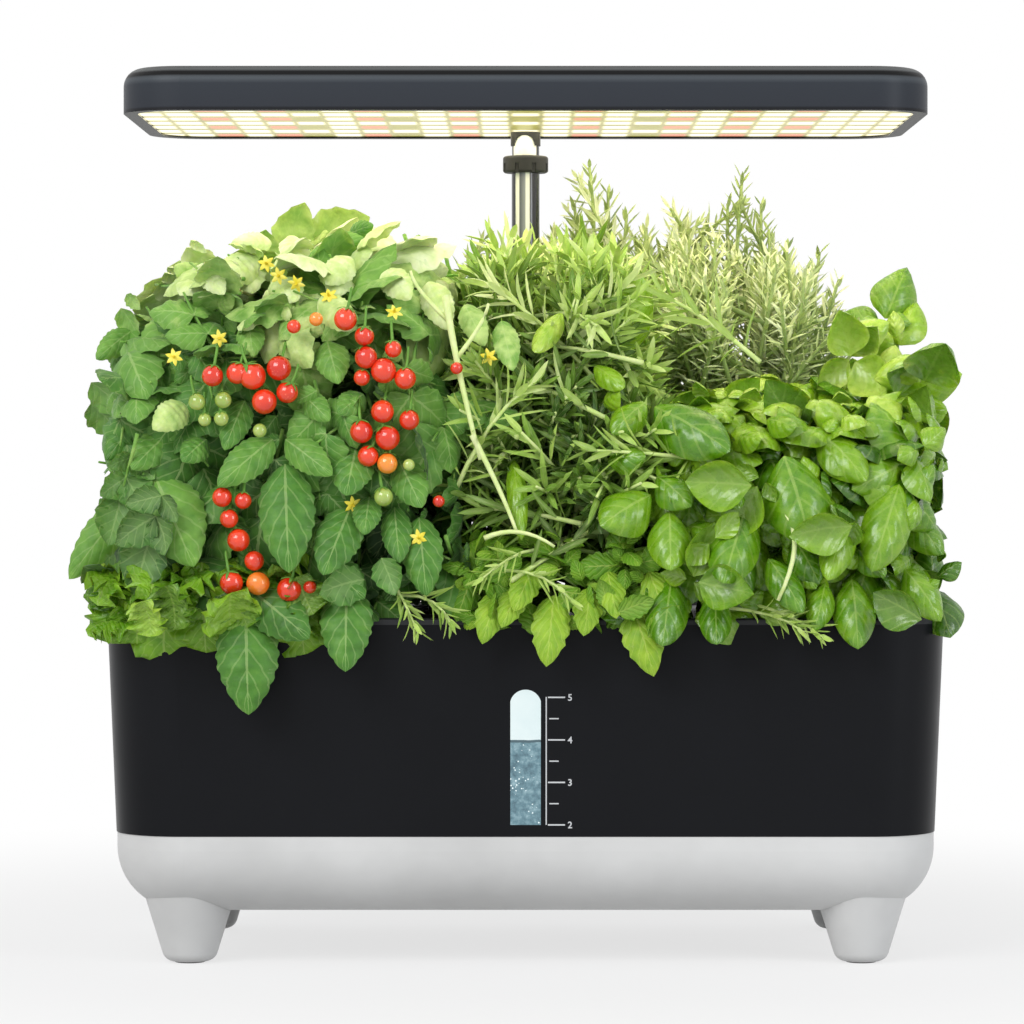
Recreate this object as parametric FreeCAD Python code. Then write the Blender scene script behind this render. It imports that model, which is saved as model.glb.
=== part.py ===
import FreeCAD, Part
import math
import os

# Countertop hydroponic garden, in millimetres. +X is to the right, the front faces -Y, +Z is up.
# The origin is on the table under the middle of the footprint.

# Driving dimensions of the tank and its pale base
BASE_WIDTH = 406.6
BASE_DEPTH = 206.6
BASE_FLOOR_Z = 26.0
BASE_TOP_Z = 65.2
BASE_EDGE_R = 32.0
BASE_WALL = 3.0
SHELL_LOW_WIDTH = 407.4
SHELL_LOW_DEPTH = 207.0
SHELL_TOP_WIDTH = 415.5
SHELL_TOP_DEPTH = 215.0
SHELL_TOP_Z = 169.2
SHELL_WALL = 2.5
PLAN_CORNER_R = 36.0

# Legs
LEG_X = 167.0
LEG_Y = 70.0
LEG_LOW_R = 12.4
LEG_TAPER = 0.305
LEG_BLEND_Z = 36.0
LEG_FOOT_Z = 0.5
LEG_ROUND_R = 6.0
PAD_R = 8.0
PAD_HEIGHT = 2.5
SCREW_R = 1.9
SCREW_HEAD_R = 3.8
SCREW_HEAD_H = 2.6
LEG_COUNTERBORE_Z = 14.0
BOSS_R = 6.0
FIT_GAP = 0.1

# Inner tank
TANK_WIDTH = 394.0
TANK_DEPTH = 194.0
TANK_FLOOR_Z = 36.0
TANK_TOP_Z = 166.0
TANK_WALL = 2.2
TANK_EDGE_R = 26.0
TANK_CORNER_R = 31.0

# Level gauge in the front wall
GAUGE_WIDTH = 15.0
GAUGE_LOW_Z = 71.0
GAUGE_SHOULDER_Z = 131.8
GAUGE_TOP_Z = 137.5
GAUGE_WATER_Z = 113.0
GAUGE_WATER_FRONT_Y = -101.1
GAUGE_WATER_BACK_Y = -97.6
GAUGE_STRIP_INSET = 0.4

# Grow deck
DECK_TOP_Z = 172.3
DECK_PLATE_Z = 167.4
DECK_FLOOR_Z = 170.7
DECK_PLUG_CLEARANCE = 0.35
DECK_SKIRT_Z = 158.0
DECK_SKIRT_WIDTH = 403.0
DECK_SKIRT_DEPTH = 202.6
DECK_SKIRT_WALL = 2.0
DECK_RIM = 10.0
DECK_RIM_SLOPE = 2.4
DECK_EDGE_R = 1.2

# Grow baskets, in four columns and three rows
COLUMN_X = (-132.0, -44.0, 44.0, 132.0)
ROW_Y = (-52.0, 0.0, 52.0)
BASKET_HOLE_R = 16.8
BASKET_TOP_R = 16.5
BASKET_LOW_R = 12.0
BASKET_LOW_Z = 118.0
BASKET_FLANGE_R = 19.5
BASKET_FLANGE_H = 2.0
BASKET_WALL = 1.3
BASKET_SLOTS = 6
BASKET_SLOT_WIDTH = 3.0
BASKET_SLOT_LOW_Z = 124.0
BASKET_SLOT_TOP_Z = 158.0
SPONGE_TOP_Z = 172.0
STEM_R = 3.0

# Control panel, its board and its two buttons
PANEL_Y = -52.0
PANEL_WIDTH = 36.0
PANEL_DEPTH = 78.0
PANEL_HEIGHT = 2.5
PANEL_CORNER_R = 5.0
PANEL_OPENING_WIDTH = 28.0
PANEL_OPENING_DEPTH = 64.0
BUTTON_Y = (-68.0, -42.0)
BUTTON_R = 6.6
BUTTON_WELL_R = 7.0
BUTTON_TOP_Z = 174.4
BUTTON_FLANGE_R = 8.0
BUTTON_FLANGE_LOW_Z = 169.2
BUTTON_FLANGE_TOP_Z = 170.3
BUTTON_STEM_R = 2.0
BUTTON_STEM_Z = 166.4
BOARD_WIDTH = 32.0
BOARD_DEPTH = 72.0
BOARD_Z = 162.0
BOARD_THICKNESS = 1.6
SWITCH_SIZE = 6.0
SWITCH_TOP_Z = 164.9
POST_R = 2.0
POST_X = 11.0
POST_Y = 28.0

# Refill lid at the right-hand end of the deck
LID_X = (158.0, 194.0)
LID_HALF_DEPTH = 33.0
LID_LOW_Z = 171.0
LID_TOP_Z = 172.6
LID_CORNER_R = 6.0
PORT_X = (164.0, 189.0)
PORT_HALF_DEPTH = 27.0
PORT_CORNER_R = 8.0
HINGE_X = 157.0
HINGE_Z = 173.2
HINGE_BARREL_R = 2.0
HINGE_PIN_R = 1.0
HINGE_BORE_R = 1.1
HINGE_EAR_GAP = 0.5
HINGE_EAR_W = 3.0
FINGER_NOTCH_DEPTH = 4.5
FINGER_NOTCH_HALF = 8.0
FINGER_PIT_DEPTH = 1.6
VENT_X = 196.0
VENT_Y = -40.0
VENT_R = 1.4

# Pump under the deck
PUMP_WIDTH = 36.0
PUMP_DEPTH = 44.0
PUMP_LOW_Z = 43.0
PUMP_TOP_Z = 76.0
PUMP_CORNER_R = 6.0
PUMP_COVER_Z = 40.0
PUMP_CHAMBER_R = 11.0
PUMP_CHAMBER_TOP_Z = 66.0
PUMP_SLOT_WIDTH = 1.6
ROTOR_LOW_Z = 45.0
ROTOR_TOP_Z = 64.0
ROTOR_HUB_R = 4.5
ROTOR_BLADE_R = 10.2
ROTOR_BLADE_T = 1.4
ROTOR_BLADE_H = 8.0
ROTOR_SHAFT_R = 1.2
ROTOR_BEARING_R = 1.28
HOSE_Y = 15.0
HOSE_R = 5.5
HOSE_BORE_R = 4.0
HOSE_LOW_Z = 76.5
NOZZLE_R = 3.9
NOZZLE_BORE_R = 2.6
NOZZLE_LENGTH = 14.0

# Mast and its socket at the rear of the deck
MAST_Y = 65.0
SOCKET_WIDTH = 32.0
SOCKET_DEPTH = 34.0
SOCKET_TOP_Z = 188.0
SOCKET_CORNER_R = 10.0
SOCKET_EDGE_R = 3.0
MAST_R = 7.4
MAST_BORE_R = 6.1
MAST_LOW_Z = 170.7
MAST_TOP_Z = 405.0
COLLAR_R = 12.0
COLLAR_LOW_Z = 401.0
COLLAR_TOP_Z = 410.0
COLLAR_EDGE_R = 1.6
COLLAR_NOTCHES = 8
COLLAR_NOTCH_R = 1.15
COLLAR_NOTCH_DEPTH = 5.0
COLLAR_BORE_GAP = 0.25
INNER_TUBE_R = 6.0
INNER_TUBE_BORE_R = 5.0
INNER_TUBE_LOW_Z = 222.0
INNER_TUBE_TOP_Z = 436.0
NECK_R = 7.25
NECK_LOW_Z = 410.3
DC_SOCKET_Z = 179.0
DC_SOCKET_R = 5.6
DC_SOCKET_BORE_R = 3.2
DC_SOCKET_PIN_R = 1.0
DC_SOCKET_LENGTH = 10.0
DC_SOCKET_PROUD = 1.5

# Lamp
LAMP_WIDTH = 400.0
LAMP_DEPTH = 200.0
LAMP_LOW_Z = 421.6
LAMP_TOP_Z = 444.0
LAMP_CORNER_R = 30.0
LAMP_EDGE_R = 9.0
LAMP_RIM = 7.0
LAMP_ROOF = 3.0
DIFFUSER_Z = 422.6
DIFFUSER_T = 1.6
LED_BOARD_Z = 434.0
LED_BOARD_T = 1.6
LED_SIZE = 5.0
LED_HEIGHT = 1.0
LED_PITCH_X = 15.75
LED_PITCH_Y = 28.0
LED_COLUMNS = 25
LED_ROWS = 7
RED_LED_COLUMNS = (-10, -8, -5, -2, 2, 5, 7, 9)
BRACKET_R = 7.9
BRACKET_LOW_Z = 415.4
BRACKET_FLANGE_R = 17.0
BRACKET_FLANGE_H = 2.6
BRACKET_ARCH_R = 5.4
BRACKET_HOLE_R = 8.1
LAMP_SCREW_R = 1.4
LAMP_SCREW_HEAD_R = 2.8
LAMP_SCREW_HEAD_H = 1.6
LAMP_BOSS_R = 3.2

# Room that the grown plants take up, and how far they overhang
CANOPY_FRONT_Y = -117.0
CANOPY_BACK_Y = 126.0
CANOPY_HALF_WIDTH = 216.0
FRUIT_Y = -124.0
FRUIT_STALK_R = 0.8
BLADE_T = 2.4
CANOPY_LOW_Z = 176.0
TOMATO_LOW_Z = 206.0
LETTUCE_LEFT_X = -206.0
LETTUCE_RIGHT_X = -98.0
BASIL_TOP_Z = 299.0
MAST_ROOM_R = 12.5
SOCKET_ROOM = 1.5

ALONG_X = FreeCAD.Vector(1, 0, 0)
ALONG_Y = FreeCAD.Vector(0, 1, 0)
ALONG_Z = FreeCAD.Vector(0, 0, 1)
TO_FRONT = FreeCAD.Vector(0, -1, 0)


def save(name, shape):
    """Write one named sub-part."""
    shape.exportStep("parts/" + name + ".step")


def point(x, y, z):
    return FreeCAD.Vector(x, y, z)


def rod(radius, z_low, z_high, x=0.0, y=0.0):
    """An upright round bar."""
    return Part.makeCylinder(radius, z_high - z_low, point(x, y, z_low), ALONG_Z)


def tube(outer_r, inner_r, z_low, z_high, x=0.0, y=0.0):
    return rod(outer_r, z_low, z_high, x, y).cut(rod(inner_r, z_low - 1, z_high + 1, x, y))


def block(x_range, y_range, z_range):
    size = [high - low for low, high in (x_range, y_range, z_range)]
    return Part.makeBox(*size, point(x_range[0], y_range[0], z_range[0]))


def rounded_outline(width, depth, radius, z, x=0.0, y=0.0):
    """A closed rectangle with rounded corners, flat at height z."""
    half_w = width / 2
    half_d = depth / 2
    inner_w = half_w - radius
    inner_d = half_d - radius
    diagonal = radius * math.sqrt(0.5)
    corners = ((1, 1), (-1, 1), (-1, -1), (1, -1))
    edges = []
    last = None
    first = None
    for index, (side_x, side_y) in enumerate(corners):
        centre = point(x + side_x * inner_w, y + side_y * inner_d, z)
        at_side = centre + point(side_x * radius, 0, 0)
        at_end = centre + point(0, side_y * radius, 0)
        middle = centre + point(side_x * diagonal, side_y * diagonal, 0)
        start, stop = (at_side, at_end) if index % 2 == 0 else (at_end, at_side)
        if last is None:
            first = start
        else:
            edges.append(Part.LineSegment(last, start).toShape())
        edges.append(Part.Arc(start, middle, stop).toShape())
        last = stop
    edges.append(Part.LineSegment(last, first).toShape())
    return Part.Wire(edges)


def rounded_slab(width, depth, radius, z_low, z_high, x=0.0, y=0.0):
    face = Part.Face(rounded_outline(width, depth, radius, z_low, x, y))
    return face.extrude(point(0, 0, z_high - z_low))


def tapered_slab(low, high):
    """A solid between two rounded rectangles, each given as width, depth, radius and height."""
    wires = [rounded_outline(*low), rounded_outline(*high)]
    return Part.makeLoft(wires, True, True)


def edges_at_height(shape, z):
    """The edges that lie flat at height z."""
    found = []
    for edge in shape.Edges:
        box = edge.BoundBox
        if abs(box.ZMin - z) < 0.01 and abs(box.ZMax - z) < 0.01:
            found.append(edge)
    return found


def leg_places():
    return [(side_x * LEG_X, side_y * LEG_Y) for side_y in (-1, 1) for side_x in (-1, 1)]


def basket_places():
    return [(x, y) for y in ROW_Y for x in COLUMN_X]


def base_outer():
    """The pale base as one full body, with its large rounded lower edge."""
    body = rounded_slab(BASE_WIDTH, BASE_DEPTH, PLAN_CORNER_R, BASE_FLOOR_Z, BASE_TOP_Z)
    return body.makeFillet(BASE_EDGE_R, edges_at_height(body, BASE_FLOOR_Z))


def make_base_shell():
    inner_w = BASE_WIDTH - 2 * BASE_WALL
    inner_d = BASE_DEPTH - 2 * BASE_WALL
    floor = BASE_FLOOR_Z + BASE_WALL
    hollow = rounded_slab(inner_w, inner_d, PLAN_CORNER_R - BASE_WALL, floor, BASE_TOP_Z + 1)
    hollow = hollow.makeFillet(BASE_EDGE_R - BASE_WALL, edges_at_height(hollow, floor))
    shell = base_outer().cut(hollow)
    for x, y in leg_places():
        shell = shell.fuse(rod(BOSS_R, floor - 1, TANK_FLOOR_Z, x, y))
        shell = shell.cut(rod(SCREW_R + FIT_GAP, BASE_FLOOR_Z - 1, TANK_FLOOR_Z - 1, x, y))
    save("base_shell", shell.removeSplitter())


def make_legs():
    """Four tapered legs whose tops follow the rounded underside of the base."""
    names = ("leg_front_left", "leg_front_right", "leg_rear_left", "leg_rear_right")
    height = LEG_BLEND_Z - LEG_FOOT_Z
    top_r = LEG_LOW_R + LEG_TAPER * LEG_BLEND_Z
    base = base_outer()
    for name, (x, y) in zip(names, leg_places()):
        leg = Part.makeCone(LEG_LOW_R, top_r, height, point(x, y, LEG_FOOT_Z))
        leg = leg.makeFillet(LEG_ROUND_R, edges_at_height(leg, LEG_FOOT_Z)[:1])
        leg = leg.cut(base)
        leg = leg.cut(rod(SCREW_R + FIT_GAP, 0, LEG_BLEND_Z, x, y))
        leg = leg.cut(rod(SCREW_HEAD_R + FIT_GAP, 0, LEG_COUNTERBORE_Z, x, y))
        leg = leg.cut(rod(PAD_R + FIT_GAP, 0, PAD_HEIGHT, x, y))
        solids = sorted(leg.Solids, key=lambda piece: piece.Volume)
        save(name, solids[-1])


def make_leg_hardware():
    pads = []
    screws = []
    for x, y in leg_places():
        pad = rod(PAD_R, 0, PAD_HEIGHT, x, y)
        pads.append(pad.makeChamfer(0.6, edges_at_height(pad, 0)))
        head_low = LEG_COUNTERBORE_Z - SCREW_HEAD_H
        screw = rod(SCREW_HEAD_R, head_low, LEG_COUNTERBORE_Z, x, y)
        screw = screw.fuse(rod(SCREW_R, head_low, TANK_FLOOR_Z - 2, x, y))
        screws.append(screw.cut(rod(SCREW_R * 0.6, head_low - 1, head_low + 1.4, x, y)))
    save("foot_pads", Part.makeCompound(pads))
    save("leg_screws", Part.makeCompound(screws))


def gauge_prism(inset):
    """The arched window outline, pushed through the front wall."""
    half = GAUGE_WIDTH / 2 - inset
    low = GAUGE_LOW_Z + inset
    shoulder = GAUGE_SHOULDER_Z
    top = GAUGE_TOP_Z - inset
    y = -SHELL_TOP_DEPTH / 2 - 5
    lower_left = point(-half, y, low)
    lower_right = point(half, y, low)
    upper_right = point(half, y, shoulder)
    upper_left = point(-half, y, shoulder)
    edges = [
        Part.LineSegment(lower_left, lower_right).toShape(),
        Part.LineSegment(lower_right, upper_right).toShape(),
        Part.Arc(upper_right, point(0, y, top), upper_left).toShape(),
        Part.LineSegment(upper_left, lower_left).toShape(),
    ]
    return Part.Face(Part.Wire(edges)).extrude(point(0, 20, 0))


def shell_wall():
    """The tapered black wall, open at top and bottom."""
    wall = 2 * SHELL_WALL
    low = (SHELL_LOW_WIDTH, SHELL_LOW_DEPTH, PLAN_CORNER_R, BASE_TOP_Z)
    high = (SHELL_TOP_WIDTH, SHELL_TOP_DEPTH, PLAN_CORNER_R, SHELL_TOP_Z)
    inner_r = PLAN_CORNER_R - SHELL_WALL
    low_in = (SHELL_LOW_WIDTH - wall, SHELL_LOW_DEPTH - wall, inner_r, BASE_TOP_Z)
    high_in = (SHELL_TOP_WIDTH - wall, SHELL_TOP_DEPTH - wall, inner_r, SHELL_TOP_Z)
    return tapered_slab(low, high).cut(tapered_slab(low_in, high_in))


def make_outer_shell():
    wall = shell_wall()
    save("outer_shell", wall.cut(gauge_prism(0)))
    save("level_window", wall.common(gauge_prism(FIT_GAP / 2)))
    half = GAUGE_WIDTH / 2 - GAUGE_STRIP_INSET
    depth = (GAUGE_WATER_FRONT_Y, GAUGE_WATER_BACK_Y)
    water_z = (GAUGE_LOW_Z + GAUGE_STRIP_INSET, GAUGE_WATER_Z)
    save("gauge_water", block((-half, half), depth, water_z))


def make_inner_tank():
    body = rounded_slab(TANK_WIDTH, TANK_DEPTH, TANK_CORNER_R, TANK_FLOOR_Z, TANK_TOP_Z)
    body = body.makeFillet(TANK_EDGE_R, edges_at_height(body, TANK_FLOOR_Z))
    floor = TANK_FLOOR_Z + TANK_WALL
    inner_w = TANK_WIDTH - 2 * TANK_WALL
    inner_d = TANK_DEPTH - 2 * TANK_WALL
    hollow = rounded_slab(inner_w, inner_d, TANK_CORNER_R - TANK_WALL, floor, TANK_TOP_Z + 1)
    hollow = hollow.makeFillet(TANK_EDGE_R - TANK_WALL, edges_at_height(hollow, floor))
    save("inner_tank", body.cut(hollow))


def make_grow_deck():
    """The planting deck: a rimmed plate that drops into the shell, with a skirt below."""
    rim = rounded_slab(SHELL_TOP_WIDTH, SHELL_TOP_DEPTH, PLAN_CORNER_R, SHELL_TOP_Z, DECK_TOP_Z)
    rim = rim.makeFillet(DECK_EDGE_R, edges_at_height(rim, DECK_TOP_Z))
    inset = 2 * (SHELL_WALL + DECK_PLUG_CLEARANCE)
    plug_w = SHELL_TOP_WIDTH - inset
    plug_d = SHELL_TOP_DEPTH - inset
    plug = rounded_slab(plug_w, plug_d, PLAN_CORNER_R - SHELL_WALL, DECK_PLATE_Z, SHELL_TOP_Z)
    skirt_r = PLAN_CORNER_R - 6
    skirt = rounded_slab(DECK_SKIRT_WIDTH, DECK_SKIRT_DEPTH, skirt_r, DECK_SKIRT_Z, DECK_PLATE_Z)
    skirt_in_w = DECK_SKIRT_WIDTH - 2 * DECK_SKIRT_WALL
    skirt_in_d = DECK_SKIRT_DEPTH - 2 * DECK_SKIRT_WALL
    skirt_in = rounded_slab(skirt_in_w, skirt_in_d, skirt_r - 2, DECK_SKIRT_Z - 1, DECK_PLATE_Z)
    deck = rim.fuse([plug, skirt.cut(skirt_in)])
    low_w = SHELL_TOP_WIDTH - 2 * DECK_RIM
    low_d = SHELL_TOP_DEPTH - 2 * DECK_RIM
    well_r = PLAN_CORNER_R - DECK_RIM
    low = (low_w, low_d, well_r, DECK_FLOOR_Z)
    rise = 2.0
    grow = 2 * DECK_RIM_SLOPE * rise / (DECK_TOP_Z - DECK_FLOOR_Z)
    high = (low_w + grow, low_d + grow, well_r + grow / 2, DECK_FLOOR_Z + rise)
    deck = deck.cut(tapered_slab(low, high))
    cuts = [rod(BASKET_HOLE_R, DECK_SKIRT_Z, DECK_TOP_Z + 1, x, y) for x, y in basket_places()]
    opening = rounded_slab(PANEL_OPENING_WIDTH, PANEL_OPENING_DEPTH, 3, DECK_SKIRT_Z,
                           DECK_TOP_Z + 1, 0, PANEL_Y)
    port_mid = (PORT_X[0] + PORT_X[1]) / 2
    port = rounded_slab(PORT_X[1] - PORT_X[0], 2 * PORT_HALF_DEPTH, PORT_CORNER_R, DECK_SKIRT_Z,
                        DECK_TOP_Z + 1, port_mid, 0)
    pit_x = (LID_X[1] - FINGER_NOTCH_DEPTH, LID_X[1] + 3)
    pit_z = (DECK_FLOOR_Z - FINGER_PIT_DEPTH, DECK_TOP_Z)
    pit = block(pit_x, (-FINGER_NOTCH_HALF, FINGER_NOTCH_HALF), pit_z)
    vent = rod(VENT_R, DECK_SKIRT_Z, DECK_TOP_Z, VENT_X, VENT_Y)
    deck = deck.cut(cuts + [opening, port, pit, vent])
    nozzle = tube(NOZZLE_R, NOZZLE_BORE_R, DECK_PLATE_Z - NOZZLE_LENGTH, DECK_PLATE_Z + 1, 0, HOSE_Y)
    ears = []
    for side in (-1, 1):
        near = side * (LID_HALF_DEPTH + HINGE_EAR_GAP)
        far = near + side * HINGE_EAR_W
        span = (min(near, far), max(near, far))
        foot_x = (HINGE_X - HINGE_BARREL_R, HINGE_X + HINGE_BARREL_R)
        ear = block(foot_x, span, (DECK_FLOOR_Z - 0.5, HINGE_Z))
        cap = Part.makeCylinder(HINGE_BARREL_R, HINGE_EAR_W, point(HINGE_X, span[0], HINGE_Z), ALONG_Y)
        hole = Part.makeCylinder(HINGE_PIN_R + 0.02, HINGE_EAR_W, point(HINGE_X, span[0], HINGE_Z), ALONG_Y)
        ears.append(ear.fuse(cap).cut(hole))
    deck = deck.fuse([nozzle] + ears)
    save("grow_deck", deck.removeSplitter())


def make_baskets():
    """Twelve tapered net baskets, each hanging by its flange, and the sponges inside them."""
    sponges = []
    low_r = BASKET_LOW_R - BASKET_WALL
    top_r = BASKET_TOP_R - BASKET_WALL
    floor = BASKET_LOW_Z + BASKET_WALL
    height = DECK_FLOOR_Z - BASKET_LOW_Z
    for index, (x, y) in enumerate(basket_places()):
        cup = Part.makeCone(BASKET_LOW_R, BASKET_TOP_R, height, point(x, y, BASKET_LOW_Z))
        cup = cup.fuse(rod(BASKET_FLANGE_R, DECK_FLOOR_Z, DECK_FLOOR_Z + BASKET_FLANGE_H, x, y))
        top = DECK_FLOOR_Z + BASKET_FLANGE_H
        hollow = Part.makeCone(low_r, top_r, top - floor, point(x, y, floor))
        cuts = [hollow]
        for turn in range(BASKET_SLOTS // 2):
            slot = Part.makeBox(2 * BASKET_TOP_R + 2, BASKET_SLOT_WIDTH,
                                BASKET_SLOT_TOP_Z - BASKET_SLOT_LOW_Z,
                                point(-BASKET_TOP_R - 1, -BASKET_SLOT_WIDTH / 2, BASKET_SLOT_LOW_Z))
            slot.rotate(point(0, 0, 0), ALONG_Z, 360.0 * turn / BASKET_SLOTS)
            slot.translate(point(x, y, 0))
            cuts.append(slot)
        save("grow_basket_%02d" % (index + 1), cup.cut(cuts))
        slim = FIT_GAP
        sponge_h = SPONGE_TOP_Z - floor
        share = sponge_h / (top - floor)
        sponge_r = low_r + (top_r - low_r) * share
        sponges.append(Part.makeCone(low_r - slim, sponge_r - slim, sponge_h, point(x, y, floor)))
    save("grow_sponges", Part.makeCompound(sponges))


def make_controls():
    top = DECK_FLOOR_Z + PANEL_HEIGHT
    panel = rounded_slab(PANEL_WIDTH, PANEL_DEPTH, PANEL_CORNER_R, DECK_FLOOR_Z, top, 0, PANEL_Y)
    panel = panel.makeFillet(0.8, edges_at_height(panel, top))
    for y in BUTTON_Y:
        panel = panel.cut(rod(BUTTON_WELL_R, DECK_FLOOR_Z - 1, top + 1, 0, y))
    board_top = BOARD_Z + BOARD_THICKNESS
    posts = []
    for side_x in (-1, 1):
        for side_y in (-1, 1):
            place = (side_x * POST_X, PANEL_Y + side_y * POST_Y)
            posts.append(rod(POST_R, board_top, DECK_FLOOR_Z + 1, *place))
    save("control_panel", panel.fuse(posts))
    board = rounded_slab(BOARD_WIDTH, BOARD_DEPTH, 2, BOARD_Z, board_top, 0, PANEL_Y)
    switches = []
    half = SWITCH_SIZE / 2
    for y in BUTTON_Y:
        switches.append(block((-half, half), (y - half, y + half), (board_top, SWITCH_TOP_Z)))
    save("control_board", board)
    save("button_switches", Part.makeCompound(switches))
    for name, y in zip(("light_button", "pump_button"), BUTTON_Y):
        cap = rod(BUTTON_R, BUTTON_FLANGE_LOW_Z, BUTTON_TOP_Z, 0, y)
        cap = cap.makeFillet(0.9, edges_at_height(cap, BUTTON_TOP_Z))
        flange = rod(BUTTON_FLANGE_R, BUTTON_FLANGE_LOW_Z, BUTTON_FLANGE_TOP_Z, 0, y)
        stem = rod(BUTTON_STEM_R, BUTTON_STEM_Z, BUTTON_FLANGE_LOW_Z + 0.5, 0, y)
        save(name, cap.fuse([flange, stem]))


def make_refill_lid():
    """A flap over the filling port, turning on a pin along its inner edge."""
    mid = (LID_X[0] + LID_X[1]) / 2
    lid = rounded_slab(LID_X[1] - LID_X[0], 2 * LID_HALF_DEPTH, LID_CORNER_R, LID_LOW_Z, LID_TOP_Z,
                       mid, 0)
    notch_x = (LID_X[1] - FINGER_NOTCH_DEPTH, LID_X[1] + 1)
    notch = block(notch_x, (-FINGER_NOTCH_HALF, FINGER_NOTCH_HALF), (LID_LOW_Z - 1, LID_TOP_Z + 1))
    lid = lid.cut(notch)
    length = 2 * (LID_HALF_DEPTH - LID_CORNER_R)
    start = point(HINGE_X, -length / 2, HINGE_Z)
    barrel = Part.makeCylinder(HINGE_BARREL_R, length, start, ALONG_Y)
    bore = Part.makeCylinder(HINGE_BORE_R, 2 * LID_HALF_DEPTH, point(HINGE_X, -LID_HALF_DEPTH, HINGE_Z),
                             ALONG_Y)
    save("refill_lid", lid.fuse(barrel).cut(bore))
    pin_half = LID_HALF_DEPTH + HINGE_EAR_GAP + HINGE_EAR_W
    pin = Part.makeCylinder(HINGE_PIN_R, 2 * pin_half, point(HINGE_X, -pin_half, HINGE_Z), ALONG_Y)
    save("refill_pin", pin)


def make_pump():
    """The small submersible pump that hangs from the deck by its hose."""
    body = rounded_slab(PUMP_WIDTH, PUMP_DEPTH, PUMP_CORNER_R, PUMP_LOW_Z, PUMP_TOP_Z)
    body = body.makeFillet(2.5, edges_at_height(body, PUMP_TOP_Z))
    body = body.cut(rod(PUMP_CHAMBER_R, PUMP_LOW_Z - 1, PUMP_CHAMBER_TOP_Z))
    body = body.cut(rod(ROTOR_BEARING_R, PUMP_CHAMBER_TOP_Z - 1, PUMP_CHAMBER_TOP_Z + 5))
    stub_top = PUMP_TOP_Z + NOZZLE_LENGTH
    body = body.fuse(rod(NOZZLE_R, PUMP_TOP_Z - 1, stub_top, 0, HOSE_Y))
    body = body.cut(rod(NOZZLE_BORE_R, PUMP_TOP_Z - 4, stub_top + 1, 0, HOSE_Y))
    save("pump_body", body)
    cover = rounded_slab(PUMP_WIDTH, PUMP_DEPTH, PUMP_CORNER_R, PUMP_COVER_Z, PUMP_LOW_Z)
    slots = []
    for step in range(-3, 4):
        if step != 0:
            x = step * 2 * PUMP_SLOT_WIDTH
            slot_x = (x - PUMP_SLOT_WIDTH / 2, x + PUMP_SLOT_WIDTH / 2)
            slots.append(block(slot_x, (-8, 8), (PUMP_COVER_Z - 1, PUMP_LOW_Z + 1)))
    slots.append(rod(ROTOR_BEARING_R, PUMP_COVER_Z + 1, PUMP_LOW_Z + 1))
    save("pump_cover", cover.cut(slots))
    rotor = rod(ROTOR_HUB_R, ROTOR_LOW_Z, ROTOR_TOP_Z)
    rotor = rotor.fuse(rod(ROTOR_SHAFT_R, PUMP_COVER_Z + 1.5, PUMP_CHAMBER_TOP_Z + 4.5))
    half_t = ROTOR_BLADE_T / 2
    blade_z = (ROTOR_LOW_Z, ROTOR_LOW_Z + ROTOR_BLADE_H)
    across = block((-ROTOR_BLADE_R, ROTOR_BLADE_R), (-half_t, half_t), blade_z)
    along = block((-half_t, half_t), (-ROTOR_BLADE_R, ROTOR_BLADE_R), blade_z)
    save("pump_rotor", rotor.fuse([across, along]))
    save("pump_hose", tube(HOSE_R, HOSE_BORE_R, HOSE_LOW_Z, DECK_PLATE_Z, 0, HOSE_Y))


def make_mast():
    socket = rounded_slab(SOCKET_WIDTH, SOCKET_DEPTH, SOCKET_CORNER_R, DECK_FLOOR_Z, SOCKET_TOP_Z,
                          0, MAST_Y)
    socket = socket.makeFillet(SOCKET_EDGE_R, edges_at_height(socket, SOCKET_TOP_Z))
    socket = socket.cut(rod(MAST_R + 0.05, DECK_FLOOR_Z - 1, SOCKET_TOP_Z + 1, 0, MAST_Y))
    back = MAST_Y + SOCKET_DEPTH / 2
    inlet_start = point(0, back - DC_SOCKET_LENGTH + DC_SOCKET_PROUD, DC_SOCKET_Z)
    inlet_hole = Part.makeCylinder(DC_SOCKET_R + 0.05, DC_SOCKET_LENGTH, inlet_start, ALONG_Y)
    save("mast_socket", socket.cut(inlet_hole))
    inlet = Part.makeCylinder(DC_SOCKET_R, DC_SOCKET_LENGTH, inlet_start, ALONG_Y)
    bore_start = inlet_start + point(0, 1.5, 0)
    inlet = inlet.cut(Part.makeCylinder(DC_SOCKET_BORE_R, DC_SOCKET_LENGTH, bore_start, ALONG_Y))
    pin_length = DC_SOCKET_LENGTH - 2.5
    pin = Part.makeCylinder(DC_SOCKET_PIN_R, pin_length, inlet_start + point(0, 1, 0), ALONG_Y)
    save("dc_socket", inlet.fuse(pin))
    save("mast_outer_tube", tube(MAST_R, MAST_BORE_R, MAST_LOW_Z, MAST_TOP_Z, 0, MAST_Y))
    save("mast_inner_tube", tube(INNER_TUBE_R, INNER_TUBE_BORE_R, INNER_TUBE_LOW_Z,
                                 INNER_TUBE_TOP_Z, 0, MAST_Y))
    save("lamp_neck", tube(NECK_R, INNER_TUBE_R + 0.02, NECK_LOW_Z, LAMP_LOW_Z, 0, MAST_Y))


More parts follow.
